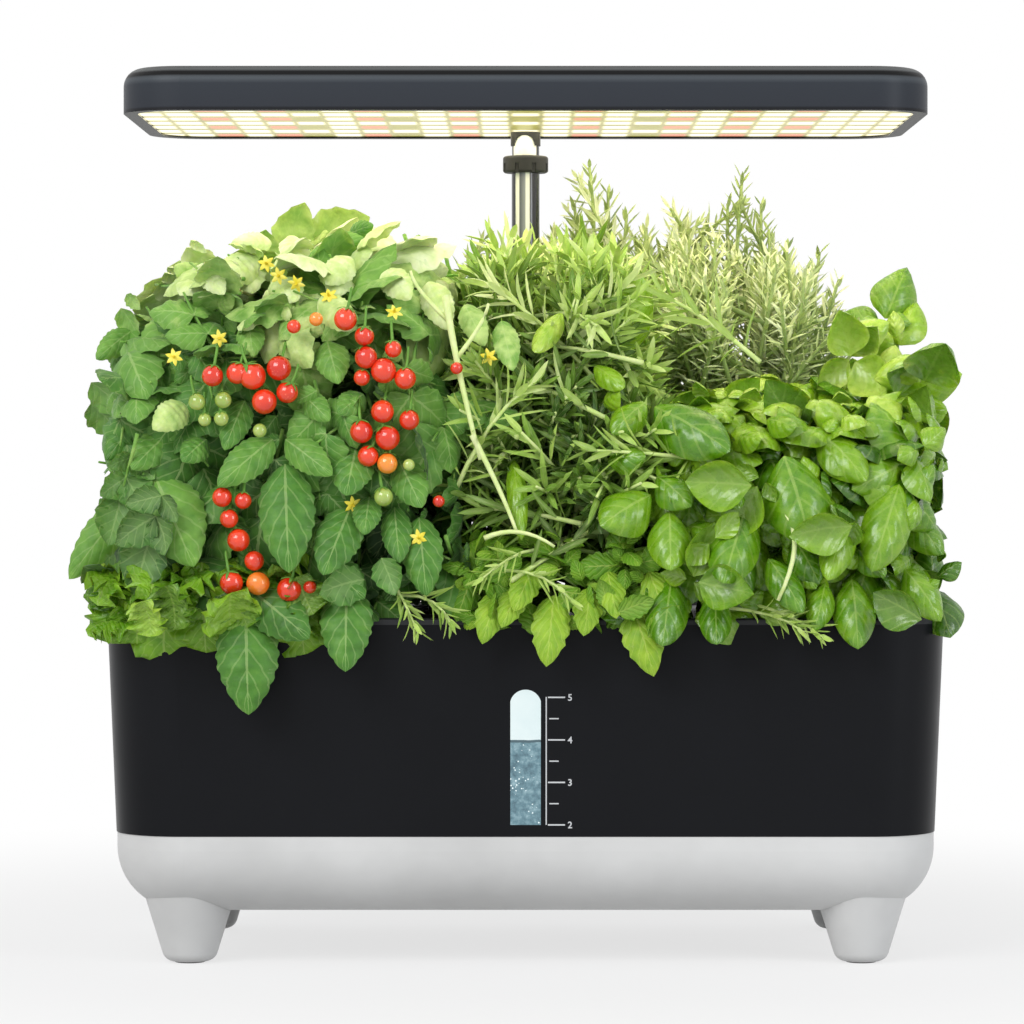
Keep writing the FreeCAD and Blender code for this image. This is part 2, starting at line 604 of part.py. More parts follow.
def make_lock_collar():
    """The twist collar that grips the sliding tube, notched round its lower edge."""
    collar = rod(COLLAR_R, COLLAR_LOW_Z, COLLAR_TOP_Z, 0, MAST_Y)
    ends = edges_at_height(collar, COLLAR_LOW_Z) + edges_at_height(collar, COLLAR_TOP_Z)
    collar = collar.makeFillet(COLLAR_EDGE_R, ends)
    bore_r = INNER_TUBE_R + COLLAR_BORE_GAP
    collar = collar.cut(rod(bore_r, COLLAR_LOW_Z - 1, COLLAR_TOP_Z + 1, 0, MAST_Y))
    seat_r = MAST_R + COLLAR_BORE_GAP
    collar = collar.cut(rod(seat_r, COLLAR_LOW_Z - 1, MAST_TOP_Z + 0.3, 0, MAST_Y))
    notches = []
    for index in range(COLLAR_NOTCHES):
        angle = 2 * math.pi * (index + 0.5) / COLLAR_NOTCHES
        x = COLLAR_R * math.cos(angle)
        y = MAST_Y + COLLAR_R * math.sin(angle)
        notches.append(rod(COLLAR_NOTCH_R, COLLAR_LOW_Z - 1, COLLAR_LOW_Z + COLLAR_NOTCH_DEPTH, x, y))
    save("lock_collar", collar.cut(notches))


def led_fits(x, y):
    """Whether a light cell clears the housing's rounded corners and the bracket."""
    half = LED_SIZE / 2
    over_x = abs(x) + half - (LAMP_WIDTH / 2 - LAMP_CORNER_R)
    over_y = abs(y) + half - (LAMP_DEPTH / 2 - LAMP_CORNER_R)
    inner_r = LAMP_CORNER_R - LAMP_RIM - FIT_GAP
    in_corner = over_x > 0 and over_y > 0 and math.hypot(over_x, over_y) > inner_r
    at_bracket = math.hypot(x, y - MAST_Y) < BRACKET_FLANGE_R
    return not in_corner and not at_bracket


def led_places():
    """Grid of the light cells. Every other row has red cells in the same few columns."""
    white = []
    red = []
    for row in range(LED_ROWS):
        y = (row - (LED_ROWS - 1) / 2) * LED_PITCH_Y
        for column in range(-(LED_COLUMNS // 2), LED_COLUMNS // 2 + 1):
            x = column * LED_PITCH_X
            is_red = row % 2 == 1 and column in RED_LED_COLUMNS
            if led_fits(x, y):
                (red if is_red else white).append((x, y))
    return white, red


def lamp_screw_places():
    step_x = 8.5 * LED_PITCH_X
    step_y = 2.5 * LED_PITCH_Y
    return [(side_x * step_x, side_y * step_y) for side_x in (-1, 1) for side_y in (-1, 1)]


def make_lamp():
    """The thin lamp: a dished housing with its board, light cells and diffuser from below."""
    housing = rounded_slab(LAMP_WIDTH, LAMP_DEPTH, LAMP_CORNER_R, LAMP_LOW_Z, LAMP_TOP_Z)
    housing = housing.makeFillet(LAMP_EDGE_R, edges_at_height(housing, LAMP_TOP_Z))
    in_w = LAMP_WIDTH - 2 * LAMP_RIM
    in_d = LAMP_DEPTH - 2 * LAMP_RIM
    in_r = LAMP_CORNER_R - LAMP_RIM
    roof = LAMP_TOP_Z - LAMP_ROOF
    housing = housing.cut(rounded_slab(in_w, in_d, in_r, LAMP_LOW_Z - 1, roof))
    board_top = LED_BOARD_Z + LED_BOARD_T
    bosses = [tube(LAMP_BOSS_R, LAMP_SCREW_R + FIT_GAP, board_top, roof + 1, x, y)
              for x, y in lamp_screw_places()]
    save("lamp_housing", housing.fuse(bosses))
    hole = rod(BRACKET_HOLE_R, LAMP_LOW_Z - 1, roof, 0, MAST_Y)
    slim = 2 * FIT_GAP
    board = rounded_slab(in_w - slim, in_d - slim, in_r, LED_BOARD_Z, board_top).cut(hole)
    screw_holes = [rod(LAMP_SCREW_R + FIT_GAP, LED_BOARD_Z - 1, board_top + 1, x, y)
                   for x, y in lamp_screw_places()]
    save("led_board", board.cut(screw_holes))
    diffuser = rounded_slab(in_w - slim, in_d - slim, in_r, DIFFUSER_Z, DIFFUSER_Z + DIFFUSER_T)
    save("lamp_diffuser", diffuser.cut(hole))
    white, red = led_places()
    half = LED_SIZE / 2
    led_z = (LED_BOARD_Z - LED_HEIGHT, LED_BOARD_Z)
    for name, places in (("white_leds", white), ("red_leds", red)):
        cells = [block((x - half, x + half), (y - half, y + half), led_z) for x, y in places]
        save(name, Part.makeCompound(cells))
    bracket = rod(BRACKET_R, BRACKET_LOW_Z, roof, 0, MAST_Y)
    bracket = bracket.fuse(rod(BRACKET_FLANGE_R, roof - BRACKET_FLANGE_H, roof, 0, MAST_Y))
    bracket = bracket.cut(rod(NECK_R + 0.05, BRACKET_LOW_Z - 1, LAMP_LOW_Z + 0.05, 0, MAST_Y))
    bracket = bracket.cut(rod(INNER_TUBE_R + 0.05, LAMP_LOW_Z, INNER_TUBE_TOP_Z + 0.1, 0, MAST_Y))
    arch_start = point(-0.6, MAST_Y - 2 * BRACKET_R, BRACKET_LOW_Z)
    arch = Part.makeCylinder(BRACKET_ARCH_R, 4 * BRACKET_R, arch_start, ALONG_Y)
    bracket = bracket.cut(arch)
    screw_x = BRACKET_FLANGE_R - LAMP_SCREW_HEAD_R - 0.6
    for side in (-1, 1):
        hole_at = rod(LAMP_SCREW_R + FIT_GAP, roof - 4, roof + 1, side * screw_x, MAST_Y)
        bracket = bracket.cut(hole_at)
    save("lamp_bracket", bracket)
    screws = []
    for x, y in lamp_screw_places():
        low = LED_BOARD_Z - LAMP_SCREW_HEAD_H
        screws.append(rod(LAMP_SCREW_HEAD_R, low, LED_BOARD_Z, x, y)
                      .fuse(rod(LAMP_SCREW_R, low, roof - 0.5, x, y)))
    for side in (-1, 1):
        low = roof - BRACKET_FLANGE_H - LAMP_SCREW_HEAD_H
        x = side * screw_x
        screws.append(rod(LAMP_SCREW_HEAD_R, low, roof - BRACKET_FLANGE_H, x, MAST_Y)
                      .fuse(rod(LAMP_SCREW_R, low, roof, x, MAST_Y)))
    save("lamp_screws", Part.makeCompound(screws))


def leaf_blade(base, tip, width, facing=TO_FRONT):
    """A pointed leaf between base and tip, bounded by two arcs and a few millimetres thick."""
    base = point(*base)
    tip = point(*tip)
    run = tip - base
    side = run.cross(facing)
    side.normalize()
    normal = side.cross(run)
    normal.normalize()
    swell = base + run * 0.45
    left = swell + side * (width / 2)
    right = swell - side * (width / 2)
    edges = [Part.Arc(base, left, tip).toShape(), Part.Arc(tip, right, base).toShape()]
    return Part.Face(Part.Wire(edges)).extrude(normal * BLADE_T)


def sprig(base, tip, low_r, top_r=1.2):
    """A thin upright twig of needles."""
    start = point(*base)
    run = point(*tip) - start
    return Part.makeCone(low_r, top_r, run.Length, start, run)


def blade_room(base, tip, width):
    """The box round a blade, kept free of the plant below it."""
    ranges = []
    for low, high in zip(map(min, base, tip), map(max, base, tip)):
        ranges.append((low - width / 2, high + width / 2))
    return block(*ranges)


def grown_plant(name, bumps, plots, stems, blades=(), sprigs=(), cuts=()):
    """A plant as one closed body: a lumpy crown kept to its own plots, stems, leaves and sprigs."""
    balls = [Part.makeSphere(r, point(x, y, z)) for x, y, z, r in bumps]
    room = block(*plots[0])
    if len(plots) > 1:
        room = room.fuse([block(*plot) for plot in plots[1:]])
    crown = balls[0].fuse(balls[1:]).common(room)
    parts = []
    for x, y, top in stems:
        parts.append(rod(STEM_R, SPONGE_TOP_Z, top, x, y))
    for blade in blades:
        parts.append(leaf_blade(*blade))
    for twig in sprigs:
        parts.append(sprig(*twig))
    plant = crown.fuse(parts)
    if cuts:
        plant = plant.cut(list(cuts))
    solids = sorted(plant.Solids, key=lambda piece: piece.Volume)
    print(name, "solids", len(solids), "volume", round(solids[-1].Volume))
    save(name, solids[-1])


# Crowns are rows of x, y, z and radius; blades are base, tip and width; sprigs base, tip, radius
TOMATO_CROWN = [
    (-150, -62, 292, 56), (-92, -60, 308, 54), (-172, -62, 244, 46), (-112, -66, 240, 56),
    (-62, -62, 268, 52), (-72, -68, 226, 50), (-60, -76, 200, 40), (-150, 42, 288, 56),
    (-90, 46, 302, 54), (-166, 50, 240, 46), (-100, 52, 238, 52), (-55, 40, 262, 48),
    (-125, -10, 316, 46), (-50, -20, 314, 42), (-182, -14, 290, 36), (-186, -10, 250, 32),
    (-60, 60, 214, 40), (-118, 96, 268, 34),
]
TOMATO_BLADES = [
    ((-188, -62, 238), (-222, -74, 192), 30), ((-182, -40, 322), (-215, -58, 292), 24),
    ((-122, -20, 335), (-151, -32, 367), 26), ((-72, 0, 330), (-86, -6, 369), 26),
    ((-148, -26, 322), (-179, -36, 351), 22), ((-86, -108, 214), (-87, -127, 149), 22),
    ((-170, 80, 300), (-205, 112, 262), 30), ((-56, -104, 226), (-48, -124, 176), 20),
    ((-190, 40, 240), (-218, 60, 212), 28), ((-117, -104, 258), (-113, -127, 212), 28),
    ((-176, -96, 262), (-184, -120, 214), 36), ((-100, -104, 280), (-99, -126, 238), 22),
    ((-168, -98, 316), (-182, -122, 276), 32), ((-200, -30, 290), (-219, -40, 250), 28),
    ((-196, 10, 312), (-220, 20, 276), 30), ((-132, 88, 320), (-146, 122, 284), 32),
    ((-84, 88, 312), (-78, 122, 276), 32), ((-112, 40, 344), (-128, 58, 366), 26),
    ((-50, -10, 340), (-42, -26, 368), 22),
]
LETTUCE_CROWN = [
    (-150, -66, 176, 60), (-186, -30, 182, 36), (-178, -84, 182, 42), (-134, -78, 186, 44),
    (-160, -20, 178, 50), (-128, -40, 182, 34), (-196, -64, 184, 26),
]
LETTUCE_BLADES = [
    ((-176, -106, 192), (-177, -127, 150), 28), ((-194, -98, 190), (-203, -116, 164), 24),
    ((-112, -106, 190), (-108, -125, 156), 20), ((-140, -108, 182), (-134, -129, 129), 27),
]
TARRAGON_CROWN = [
    (0, -70, 262, 50), (22, -40, 300, 46), (34, -72, 246, 46), (10, -10, 300, 44),
    (20, -10, 250, 50), (-10, -60, 314, 38), (30, -60, 310, 36), (0, 20, 312, 40),
]
TARRAGON_SPRIGS = [
    ((-14, -50, 330), (-24, -60, 362), 7), ((8, -20, 330), (10, -26, 366), 7),
    ((28, -20, 330), (34, -30, 360), 7), ((-20, -96, 240), (-24, -118, 206), 5),
    ((20, -96, 300), (34, -112, 336), 6), ((-18, 16, 326), (-24, 14, 366), 7),
]
TARRAGON_BLADES = [((44, -62, 300), (56, -74, 341), 22), ((-6, -100, 250), (-2, -124, 212), 10)]
MINT_CROWN = [
    (10, -84, 186, 40), (40, -72, 186, 42), (-16, -90, 184, 32), (46, -96, 190, 28),
    (-8, -64, 188, 34),
]
MINT_BLADES = [
    ((48, -108, 196), (56, -128, 145), 21), ((12, -108, 194), (10, -128, 148), 19),
    ((-16, -108, 192), (-21, -126, 160), 15), ((30, -108, 194), (30, -124, 164), 15),
]
ROSEMARY_CROWN = [
    (20, 92, 300, 42), (40, 80, 324, 40), (90, 84, 312, 44), (128, 84, 302, 42),
    (60, 96, 260, 44), (110, 92, 258, 44), (10, 100, 256, 38), (60, 80, 222, 40),
    (120, 70, 226, 40), (66, 78, 326, 38), (0, 96, 318, 34), (92, 34, 318, 36), (128, 40, 314, 34),
    (72, 44, 324, 34), (148, 60, 306, 32),
]
ROSEMARY_SPRIGS = [
    ((34, 80, 340), (34, 76, 405), 8), ((112, 86, 335), (116, 82, 402), 8),
    ((80, 86, 340), (83, 82, 376), 7), ((146, 84, 315), (157, 80, 360), 8),
    ((54, 80, 345), (54, 76, 380), 7), ((18, 92, 325), (16, 90, 372), 7),
    ((134, 90, 325), (140, 90, 364), 7), ((98, 90, 330), (98, 88, 372), 7),
    ((-14, 104, 325), (-20, 104, 362), 7), ((158, 88, 290), (166, 86, 330), 7),
]
ROSEMARY_BLADES = [((60, 104, 260), (60, 130, 226), 26)]
BASIL_FRONT_CROWN = [
    (92, -76, 232, 46), (130, -76, 240, 48), (170, -78, 244, 42), (100, -70, 246, 42),
    (150, -84, 214, 42), (190, -74, 222, 28), (90, -84, 208, 34), (178, -84, 198, 28),
    (120, -80, 204, 36), (192, -66, 254, 24),
]
BASIL_FRONT_BLADES = [
    ((182, -96, 214), (208, -112, 168), 22), ((164, -108, 200), (170, -127, 155), 26),
    ((104, -108, 198), (100, -126, 164), 26), ((78, -108, 200), (79, -126, 162), 22),
    ((136, -108, 204), (140, -126, 170), 24), ((186, -66, 246), (215, -70, 236), 26),
    ((118, -104, 262), (128, -127, 228), 34), ((88, -104, 244), (92, -127, 206), 30),
    ((160, -104, 256), (154, -127, 218), 34),
]
BASIL_RIGHT_CROWN = [
    (98, 3, 254, 36), (128, -5, 257, 41), (158, 6, 255, 42), (182, -3, 250, 35),
    (190, -7, 273, 24), (112, 16, 246, 33),
]
BASIL_RIGHT_BLADES = [
    ((186, -14, 276), (223.5, -20, 284), 30), ((164, 0, 286), (191, -6, 323), 26),
    ((178, 20, 260), (212, 34, 240), 26),
]

# Ripening fruit, truss by truss, as x, z and radius in the plane just in front of the leaves
RED_FRUIT = [
    (-151.8, 290.7, 5.2), (-139.9, 292.0, 5.3), (-132.4, 290.6, 6.6), (-119.6, 294.4, 6.0),
    (-126.7, 278.2, 6.1), (-115.6, 282.7, 5.3),
    (-87.4, 318.2, 5.6), (-78.2, 310.0, 4.8), (-77.4, 299.6, 5.5), (-64.2, 303.6, 4.1),
    (-79.4, 289.8, 4.0), (-68.9, 293.2, 6.2), (-58.4, 289.4, 5.3), (-69.4, 273.4, 5.6),
    (-56.4, 269.3, 4.9), (-79.6, 263.6, 5.6), (-66.9, 260.6, 6.0), (-76.4, 251.8, 5.1),
    (-147.2, 231.8, 4.8), (-137.0, 230.2, 4.1), (-143.8, 221.4, 4.5), (-139.2, 211.0, 5.5),
    (-131.6, 201.0, 4.8), (-142.6, 190.2, 5.7), (-114.6, 187.1, 6.0), (-104.6, 188.4, 3.3),
    (-33.5, 294.4, 3.0), (-42.1, 229.9, 2.9), (-112.4, 314.6, 3.4),
]
ORANGE_FRUIT = [(-129.8, 190.0, 5.7), (-67.1, 248.2, 5.0), (-101.6, 318.2, 3.4)]
GREEN_FRUIT = [
    (-159.4, 278.1, 4.1), (-146.7, 279.0, 4.1), (-155.6, 269.4, 3.2), (-147.6, 270.0, 3.6),
    (-128.9, 264.2, 3.4), (-68.9, 232.0, 4.6), (-56.6, 247.6, 2.9),
]


def make_fruit():
    for name, rows in (("red_fruit", RED_FRUIT), ("orange_fruit", ORANGE_FRUIT),
                       ("green_fruit", GREEN_FRUIT)):
        fruit = []
        for x, z, radius in rows:
            ball = Part.makeSphere(radius, point(x, FRUIT_Y, z))
            reach = CANOPY_FRONT_Y - FRUIT_Y
            stalk = Part.makeCylinder(FRUIT_STALK_R, reach, point(x, FRUIT_Y, z), ALONG_Y)
            fruit.append(ball.fuse(stalk))
        save(name, Part.makeCompound(fruit))


def make_plants():
    front = CANOPY_FRONT_Y
    back = CANOPY_BACK_Y
    side = CANOPY_HALF_WIDTH
    top = LAMP_LOW_Z - 40
    gap = 0.5
    left_x, mid_left_x, mid_right_x, right_x = COLUMN_X
    front_y, middle_y, rear_y = ROW_Y
    join = -30.0
    split = 61.0
    tomato_plots = [((-side, join - gap), (front, back), (TOMATO_LOW_Z, top)),
                    ((LETTUCE_RIGHT_X + gap, join - gap), (front, back), (CANOPY_LOW_Z, top))]
    tomato_stems = [(mid_left_x, front_y, 240), (mid_left_x, middle_y, 250),
                    (mid_left_x, rear_y, 240), (left_x, rear_y, 240)]
    grown_plant("tomato_plant", TOMATO_CROWN, tomato_plots, tomato_stems, TOMATO_BLADES)
    lettuce_plot = ((LETTUCE_LEFT_X, LETTUCE_RIGHT_X), (front, 24),
                    (CANOPY_LOW_Z, TOMATO_LOW_Z - gap))
    lettuce_stems = [(left_x, front_y, 190), (left_x, middle_y, 190)]
    hanging_leaf = blade_room(*TOMATO_BLADES[0])
    grown_plant("lettuce_plant", LETTUCE_CROWN, [lettuce_plot], lettuce_stems, LETTUCE_BLADES,
                cuts=[hanging_leaf])
    mint_plot = ((join, split - gap), (front, -30), (CANOPY_LOW_Z, 214))
    grown_plant("mint_plant", MINT_CROWN, [mint_plot], [(mid_right_x, front_y, 195)], MINT_BLADES)
    tarragon_plot = ((join, split - gap), (front, 44), (214 + gap, top))
    grown_plant("tarragon_plant", TARRAGON_CROWN, [tarragon_plot], [(mid_right_x, middle_y, 240)],
                TARRAGON_BLADES, TARRAGON_SPRIGS)
    rosemary_plots = [((join, 168), (44 + gap, back), (CANOPY_LOW_Z, top)),
                      ((split + gap, 168), (-10, back), (BASIL_TOP_Z + gap, top))]
    mast_room = rod(MAST_ROOM_R, CANOPY_LOW_Z - 5, LAMP_LOW_Z, 0, MAST_Y)
    half_w = SOCKET_WIDTH / 2 + SOCKET_ROOM
    half_d = SOCKET_DEPTH / 2 + SOCKET_ROOM
    socket_room = block((-half_w, half_w), (MAST_Y - half_d, MAST_Y + half_d + 20),
                        (CANOPY_LOW_Z - 5, SOCKET_TOP_Z + SOCKET_ROOM))
    rosemary_stems = [(mid_right_x, rear_y, 230), (right_x, rear_y, 230)]
    grown_plant("rosemary_plant", ROSEMARY_CROWN, rosemary_plots, rosemary_stems, ROSEMARY_BLADES,
                ROSEMARY_SPRIGS, [mast_room, socket_room])
    front_plot = ((split, side), (front, -42), (CANOPY_LOW_Z, top))
    grown_plant("basil_front_plant", BASIL_FRONT_CROWN, [front_plot], [(right_x, front_y, 210)],
                BASIL_FRONT_BLADES)
    right_plot = ((split, side), (-42 + gap, 44), (214, BASIL_TOP_Z))
    grown_plant("basil_right_plant", BASIL_RIGHT_CROWN, [right_plot], [(right_x, middle_y, 250)],
                BASIL_RIGHT_BLADES)


os.makedirs("parts", exist_ok=True)
make_base_shell()
make_legs()
make_leg_hardware()
make_outer_shell()
make_inner_tank()
make_grow_deck()
make_baskets()
make_controls()
make_refill_lid()
make_pump()
make_mast()
make_lock_collar()
make_lamp()
make_plants()
make_fruit()
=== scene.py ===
import math

import bpy
import numpy as np
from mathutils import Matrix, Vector


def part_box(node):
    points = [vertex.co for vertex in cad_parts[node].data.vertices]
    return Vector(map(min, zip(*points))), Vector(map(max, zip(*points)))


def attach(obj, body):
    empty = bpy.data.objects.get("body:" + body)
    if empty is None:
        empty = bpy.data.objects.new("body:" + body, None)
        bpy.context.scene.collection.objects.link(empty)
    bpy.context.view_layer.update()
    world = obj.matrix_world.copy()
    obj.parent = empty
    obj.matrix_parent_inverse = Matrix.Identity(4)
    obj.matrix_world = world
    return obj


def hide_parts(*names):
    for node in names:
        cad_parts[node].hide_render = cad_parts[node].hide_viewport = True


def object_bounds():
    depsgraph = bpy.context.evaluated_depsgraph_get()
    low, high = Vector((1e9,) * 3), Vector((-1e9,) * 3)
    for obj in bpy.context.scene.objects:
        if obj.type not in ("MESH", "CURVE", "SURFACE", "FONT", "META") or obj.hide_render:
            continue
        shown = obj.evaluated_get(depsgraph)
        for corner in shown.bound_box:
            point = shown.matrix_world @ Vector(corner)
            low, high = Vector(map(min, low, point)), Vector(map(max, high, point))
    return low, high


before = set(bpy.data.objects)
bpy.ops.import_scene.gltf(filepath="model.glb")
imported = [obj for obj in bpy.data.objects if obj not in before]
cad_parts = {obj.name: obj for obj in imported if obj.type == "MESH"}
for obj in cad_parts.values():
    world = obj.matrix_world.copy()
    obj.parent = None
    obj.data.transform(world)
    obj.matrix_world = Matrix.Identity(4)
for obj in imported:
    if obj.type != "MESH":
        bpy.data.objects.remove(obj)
cad_low, cad_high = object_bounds()

MM = 0.001
WHITE = (1.0, 1.0, 1.0, 1.0)

# Camera, worked out from the photograph: its height, its distance and its shift in the frame
CAMERA_HEIGHT = 0.2596
CAMERA_Y = -2.1475
CAMERA_LENS = 146.7
PHOTO_SIZE = 1024.0
PHOTO_MIDDLE_X = 525.6
PHOTO_HORIZON_Y = 440.0
LIGHT_AIM = (0.0, 0.0, 0.2)
FLOOR_REACH = 12.0

# Places of the casing that the pieces here are set against
SHELL_LOW_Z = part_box("outer_shell")[0].z
SHELL_TOP_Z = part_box("outer_shell")[1].z
SHELL_TOP_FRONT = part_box("outer_shell")[0].y
SHELL_LOW_FRONT = -0.1035
WATER_TOP_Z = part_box("gauge_water")[1].z
BASKET_XS = (-0.132, -0.044, 0.044, 0.132)
BASKET_YS = (-0.052, 0.0, 0.052)
SPONGE_TOP_Z = 0.1715
MAST_R = 0.0074
LAMP_LOW_Z = 0.4216
LAMP_HIGH_Z = 0.444
LED_PITCH_X = 0.01575
LED_PITCH_Y = 0.028
LED_SIZE_X = 0.0136
LED_SIZE_Y = 0.0185
LED_EDGE = 0.0014
RED_COLUMNS = (-10, -8, -5, -2, 2, 5, 7, 9)
DARK_COLUMNS = (-7, -4, 0, 4)


def linear(colour):
    """A colour read off as three numbers from 0 to 255, made linear; one of four is linear already."""
    if len(colour) == 4:
        return tuple(colour)
    share = np.array(colour) / 255.0
    curved = np.where(share <= 0.04045, share / 12.92, ((share + 0.055) / 1.055) ** 2.4)
    return (*curved.tolist(), 1.0)


# Material tools

class Reading:
    """A number that varies over a finish; sums, products and comparisons of it add Math nodes."""

    def __init__(self, finish, socket):
        self.finish = finish
        self.socket = socket

    def worked(self, operation, *others):
        made = self.finish.node("ShaderNodeMath", operation=operation)
        for target, value in zip(made.inputs, (self, *others)):
            self.finish.feed(target, value)
        return Reading(self.finish, made.outputs[0])

    def __add__(self, other):
        return self.worked("ADD", other)

    def __sub__(self, other):
        return self.worked("SUBTRACT", other)

    def __mul__(self, other):
        return self.worked("MULTIPLY", other)

    def __lt__(self, other):
        return self.worked("LESS_THAN", other)

    def __gt__(self, other):
        return self.worked("GREATER_THAN", other)


class Finish:
    """One procedural material with short calls for its nodes."""

    def __init__(self, name, colour, rough, **sockets):
        self.material = bpy.data.materials.new(name)
        self.material.use_nodes = True
        self.tree = self.material.node_tree
        self.shader = self.tree.nodes["Principled BSDF"]
        sockets.update(Base_Color=linear(colour), Roughness=rough)
        for socket, value in sockets.items():
            self.shader.inputs[socket.replace("_", " ")].default_value = value

    def node(self, kind, **settings):
        made = self.tree.nodes.new(kind)
        for key, value in settings.items():
            setattr(made, key, value)
        return made

    def feed(self, target, value):
        """Link a reading or a socket to the target, or set the target to a number or colour."""
        if isinstance(value, tuple):
            target.default_value = linear(value)
        elif isinstance(value, (int, float)):
            target.default_value = value
        else:
            self.tree.links.new(getattr(value, "socket", value), target)

    def drive(self, socket, value):
        self.feed(self.shader.inputs[socket], value)

    def colour(self, value):
        self.drive("Base Color", value)

    def place(self):
        return self.node("ShaderNodeTexCoord").outputs["Object"]

    def split(self, vector=None):
        """The three parts of a vector, or of the place on the piece."""
        made = self.node("ShaderNodeSeparateXYZ")
        self.feed(made.inputs[0], vector or self.place())
        return [Reading(self, output) for output in made.outputs]

    def value(self, name):
        made = self.node("ShaderNodeAttribute", attribute_name=name)
        return Reading(self, made.outputs["Fac"])

    def noise(self, scale, detail=3.0, rough=0.5, vector=None):
        made = self.node("ShaderNodeTexNoise")
        for socket, value in (("Scale", scale), ("Detail", detail), ("Roughness", rough),
                              ("Vector", vector or self.place())):
            self.feed(made.inputs[socket], value)
        return Reading(self, made.outputs["Fac"])

    def ramp(self, factor, stops):
        made = self.node("ShaderNodeValToRGB")
        elements = made.color_ramp.elements
        for index, (position, colour) in enumerate(stops):
            element = elements[index] if index < 2 else elements.new(position)
            element.position = position
            element.color = linear(colour)
        self.feed(made.inputs[0], factor)
        return made.outputs["Color"]

    def mix(self, factor, first, second):
        made = self.node("ShaderNodeMix", data_type="RGBA")
        for index, value in ((0, factor), (6, first), (7, second)):
            self.feed(made.inputs[index], value)
        return made.outputs[2]

    def remap(self, source, low, high, new_low=0.0, new_high=1.0, kind="SMOOTHSTEP"):
        made = self.node("ShaderNodeMapRange", interpolation_type=kind)
        for socket, value in (("Value", source), ("From Min", low), ("From Max", high),
                              ("To Min", new_low), ("To Max", new_high)):
            self.feed(made.inputs[socket], value)
        return Reading(self, made.outputs[0])

    def uneven_gloss(self, factor, low, high):
        self.drive("Roughness", self.remap(factor, 0.0, 1.0, low, high, "LINEAR"))

    def bump(self, height, strength, distance):
        made = self.node("ShaderNodeBump")
        for socket, value in (("Strength", strength), ("Distance", distance), ("Height", height)):
            self.feed(made.inputs[socket], value)
        self.drive("Normal", made.outputs[0])


def moulded(name, colour, rough, grain=1400.0, depth=0.00002, specular=0.3, coat=0.0):
    """Moulded plastic: fine grain, faint cloudiness and a slightly uneven gloss."""
    finish = Finish(name, colour, rough, Specular_IOR_Level=specular, Coat_Weight=coat,
                    Coat_Roughness=0.12)
    darker, lighter = [(*(min(1.0, channel * share) for channel in linear(colour)[:3]), 1.0)
                       for share in (0.88, 1.1)]
    finish.colour(finish.ramp(finish.noise(9.0, 4.0, 0.6), [(0.3, darker), (0.7, lighter)]))
    finish.uneven_gloss(finish.noise(60.0), rough - 0.06, rough + 0.06)
    finish.bump(finish.noise(grain, 2.0), 0.35, depth)
    return finish.material


def polished(name, colour, rough):
    """Drawn and polished metal: fine streaks along its length."""
    finish = Finish(name, colour, rough, Metallic=1.0)
    stretch = finish.node("ShaderNodeMapping")
    stretch.inputs["Scale"].default_value = (900.0, 900.0, 6.0)
    finish.feed(stretch.inputs["Vector"], finish.place())
    lines = finish.noise(1.0, 3.0, 0.6, stretch.outputs[0])
    finish.uneven_gloss(lines, rough, rough + 0.03)
    finish.bump(lines, 0.05, 0.00001)
    return finish.material


def painted_reflection_tube(name, rough, painted_reflection_stops):
    """A tube with painted reflections: dark and bright strips, as a polished tube would mirror them, painted
    into its colour across its width.
    """
    finish = Finish(name, painted_reflection_stops[0][1], rough, Coat_Weight=0.3)
    x, _, _ = finish.split()
    # Painted reflection: the strips follow the place across the tube's width
    finish.colour(finish.ramp(x * (0.5 / MAST_R) + 0.5, painted_reflection_stops))
    return finish.material


def lamp_casing():
    """The lamp's dark casing, with painted light by height: a dark groove line of painted shade and a pale
    ridge of painted highlight under its upper edge.
    """
    finish = Finish("lamp_plastic_painted_light_bands", (50, 53, 58), 0.4, Specular_IOR_Level=0.12)
    _, _, z = finish.split()
    height = (z - LAMP_LOW_Z) * (1 / (LAMP_HIGH_Z - LAMP_LOW_Z))
    # Painted light and shade by height, from the foot up: a darker foot, the body, a pale band of painted
    # highlight, a dark groove line of painted shade, a pale ridge of painted highlight and a dark top edge
    finish.colour(finish.ramp(height, [
        (0.0, (30, 31, 33)), (0.05, (30, 31, 34)), (0.09, (48, 51, 57)), (0.6, (50, 54, 60)),
        (0.7, (70, 75, 80)), (0.75, (66, 70, 74)), (0.79, (18, 18, 19)), (0.86, (20, 20, 21)),
        (0.91, (88, 90, 90)), (0.96, (74, 75, 74)), (0.985, (34, 35, 37))]))
    finish.bump(finish.noise(900.0), 0.1, 0.00002)
    return finish.material


def within_cell(finish, reading, pitch, size):
    """1 inside the light cells of a row, falling softly to 0 between them."""
    away = reading.worked("PINGPONG", pitch / 2)
    return finish.remap(away, size / 2 + LED_EDGE, size / 2 - LED_EDGE)


def column_mask(x, columns):
    """1 over the named columns of light cells and 0 elsewhere."""
    total, *others = [x.worked("COMPARE", column * LED_PITCH_X, LED_PITCH_X / 2) for column in columns]
    for near in others:
        total = total.worked("MAXIMUM", near)
    return total


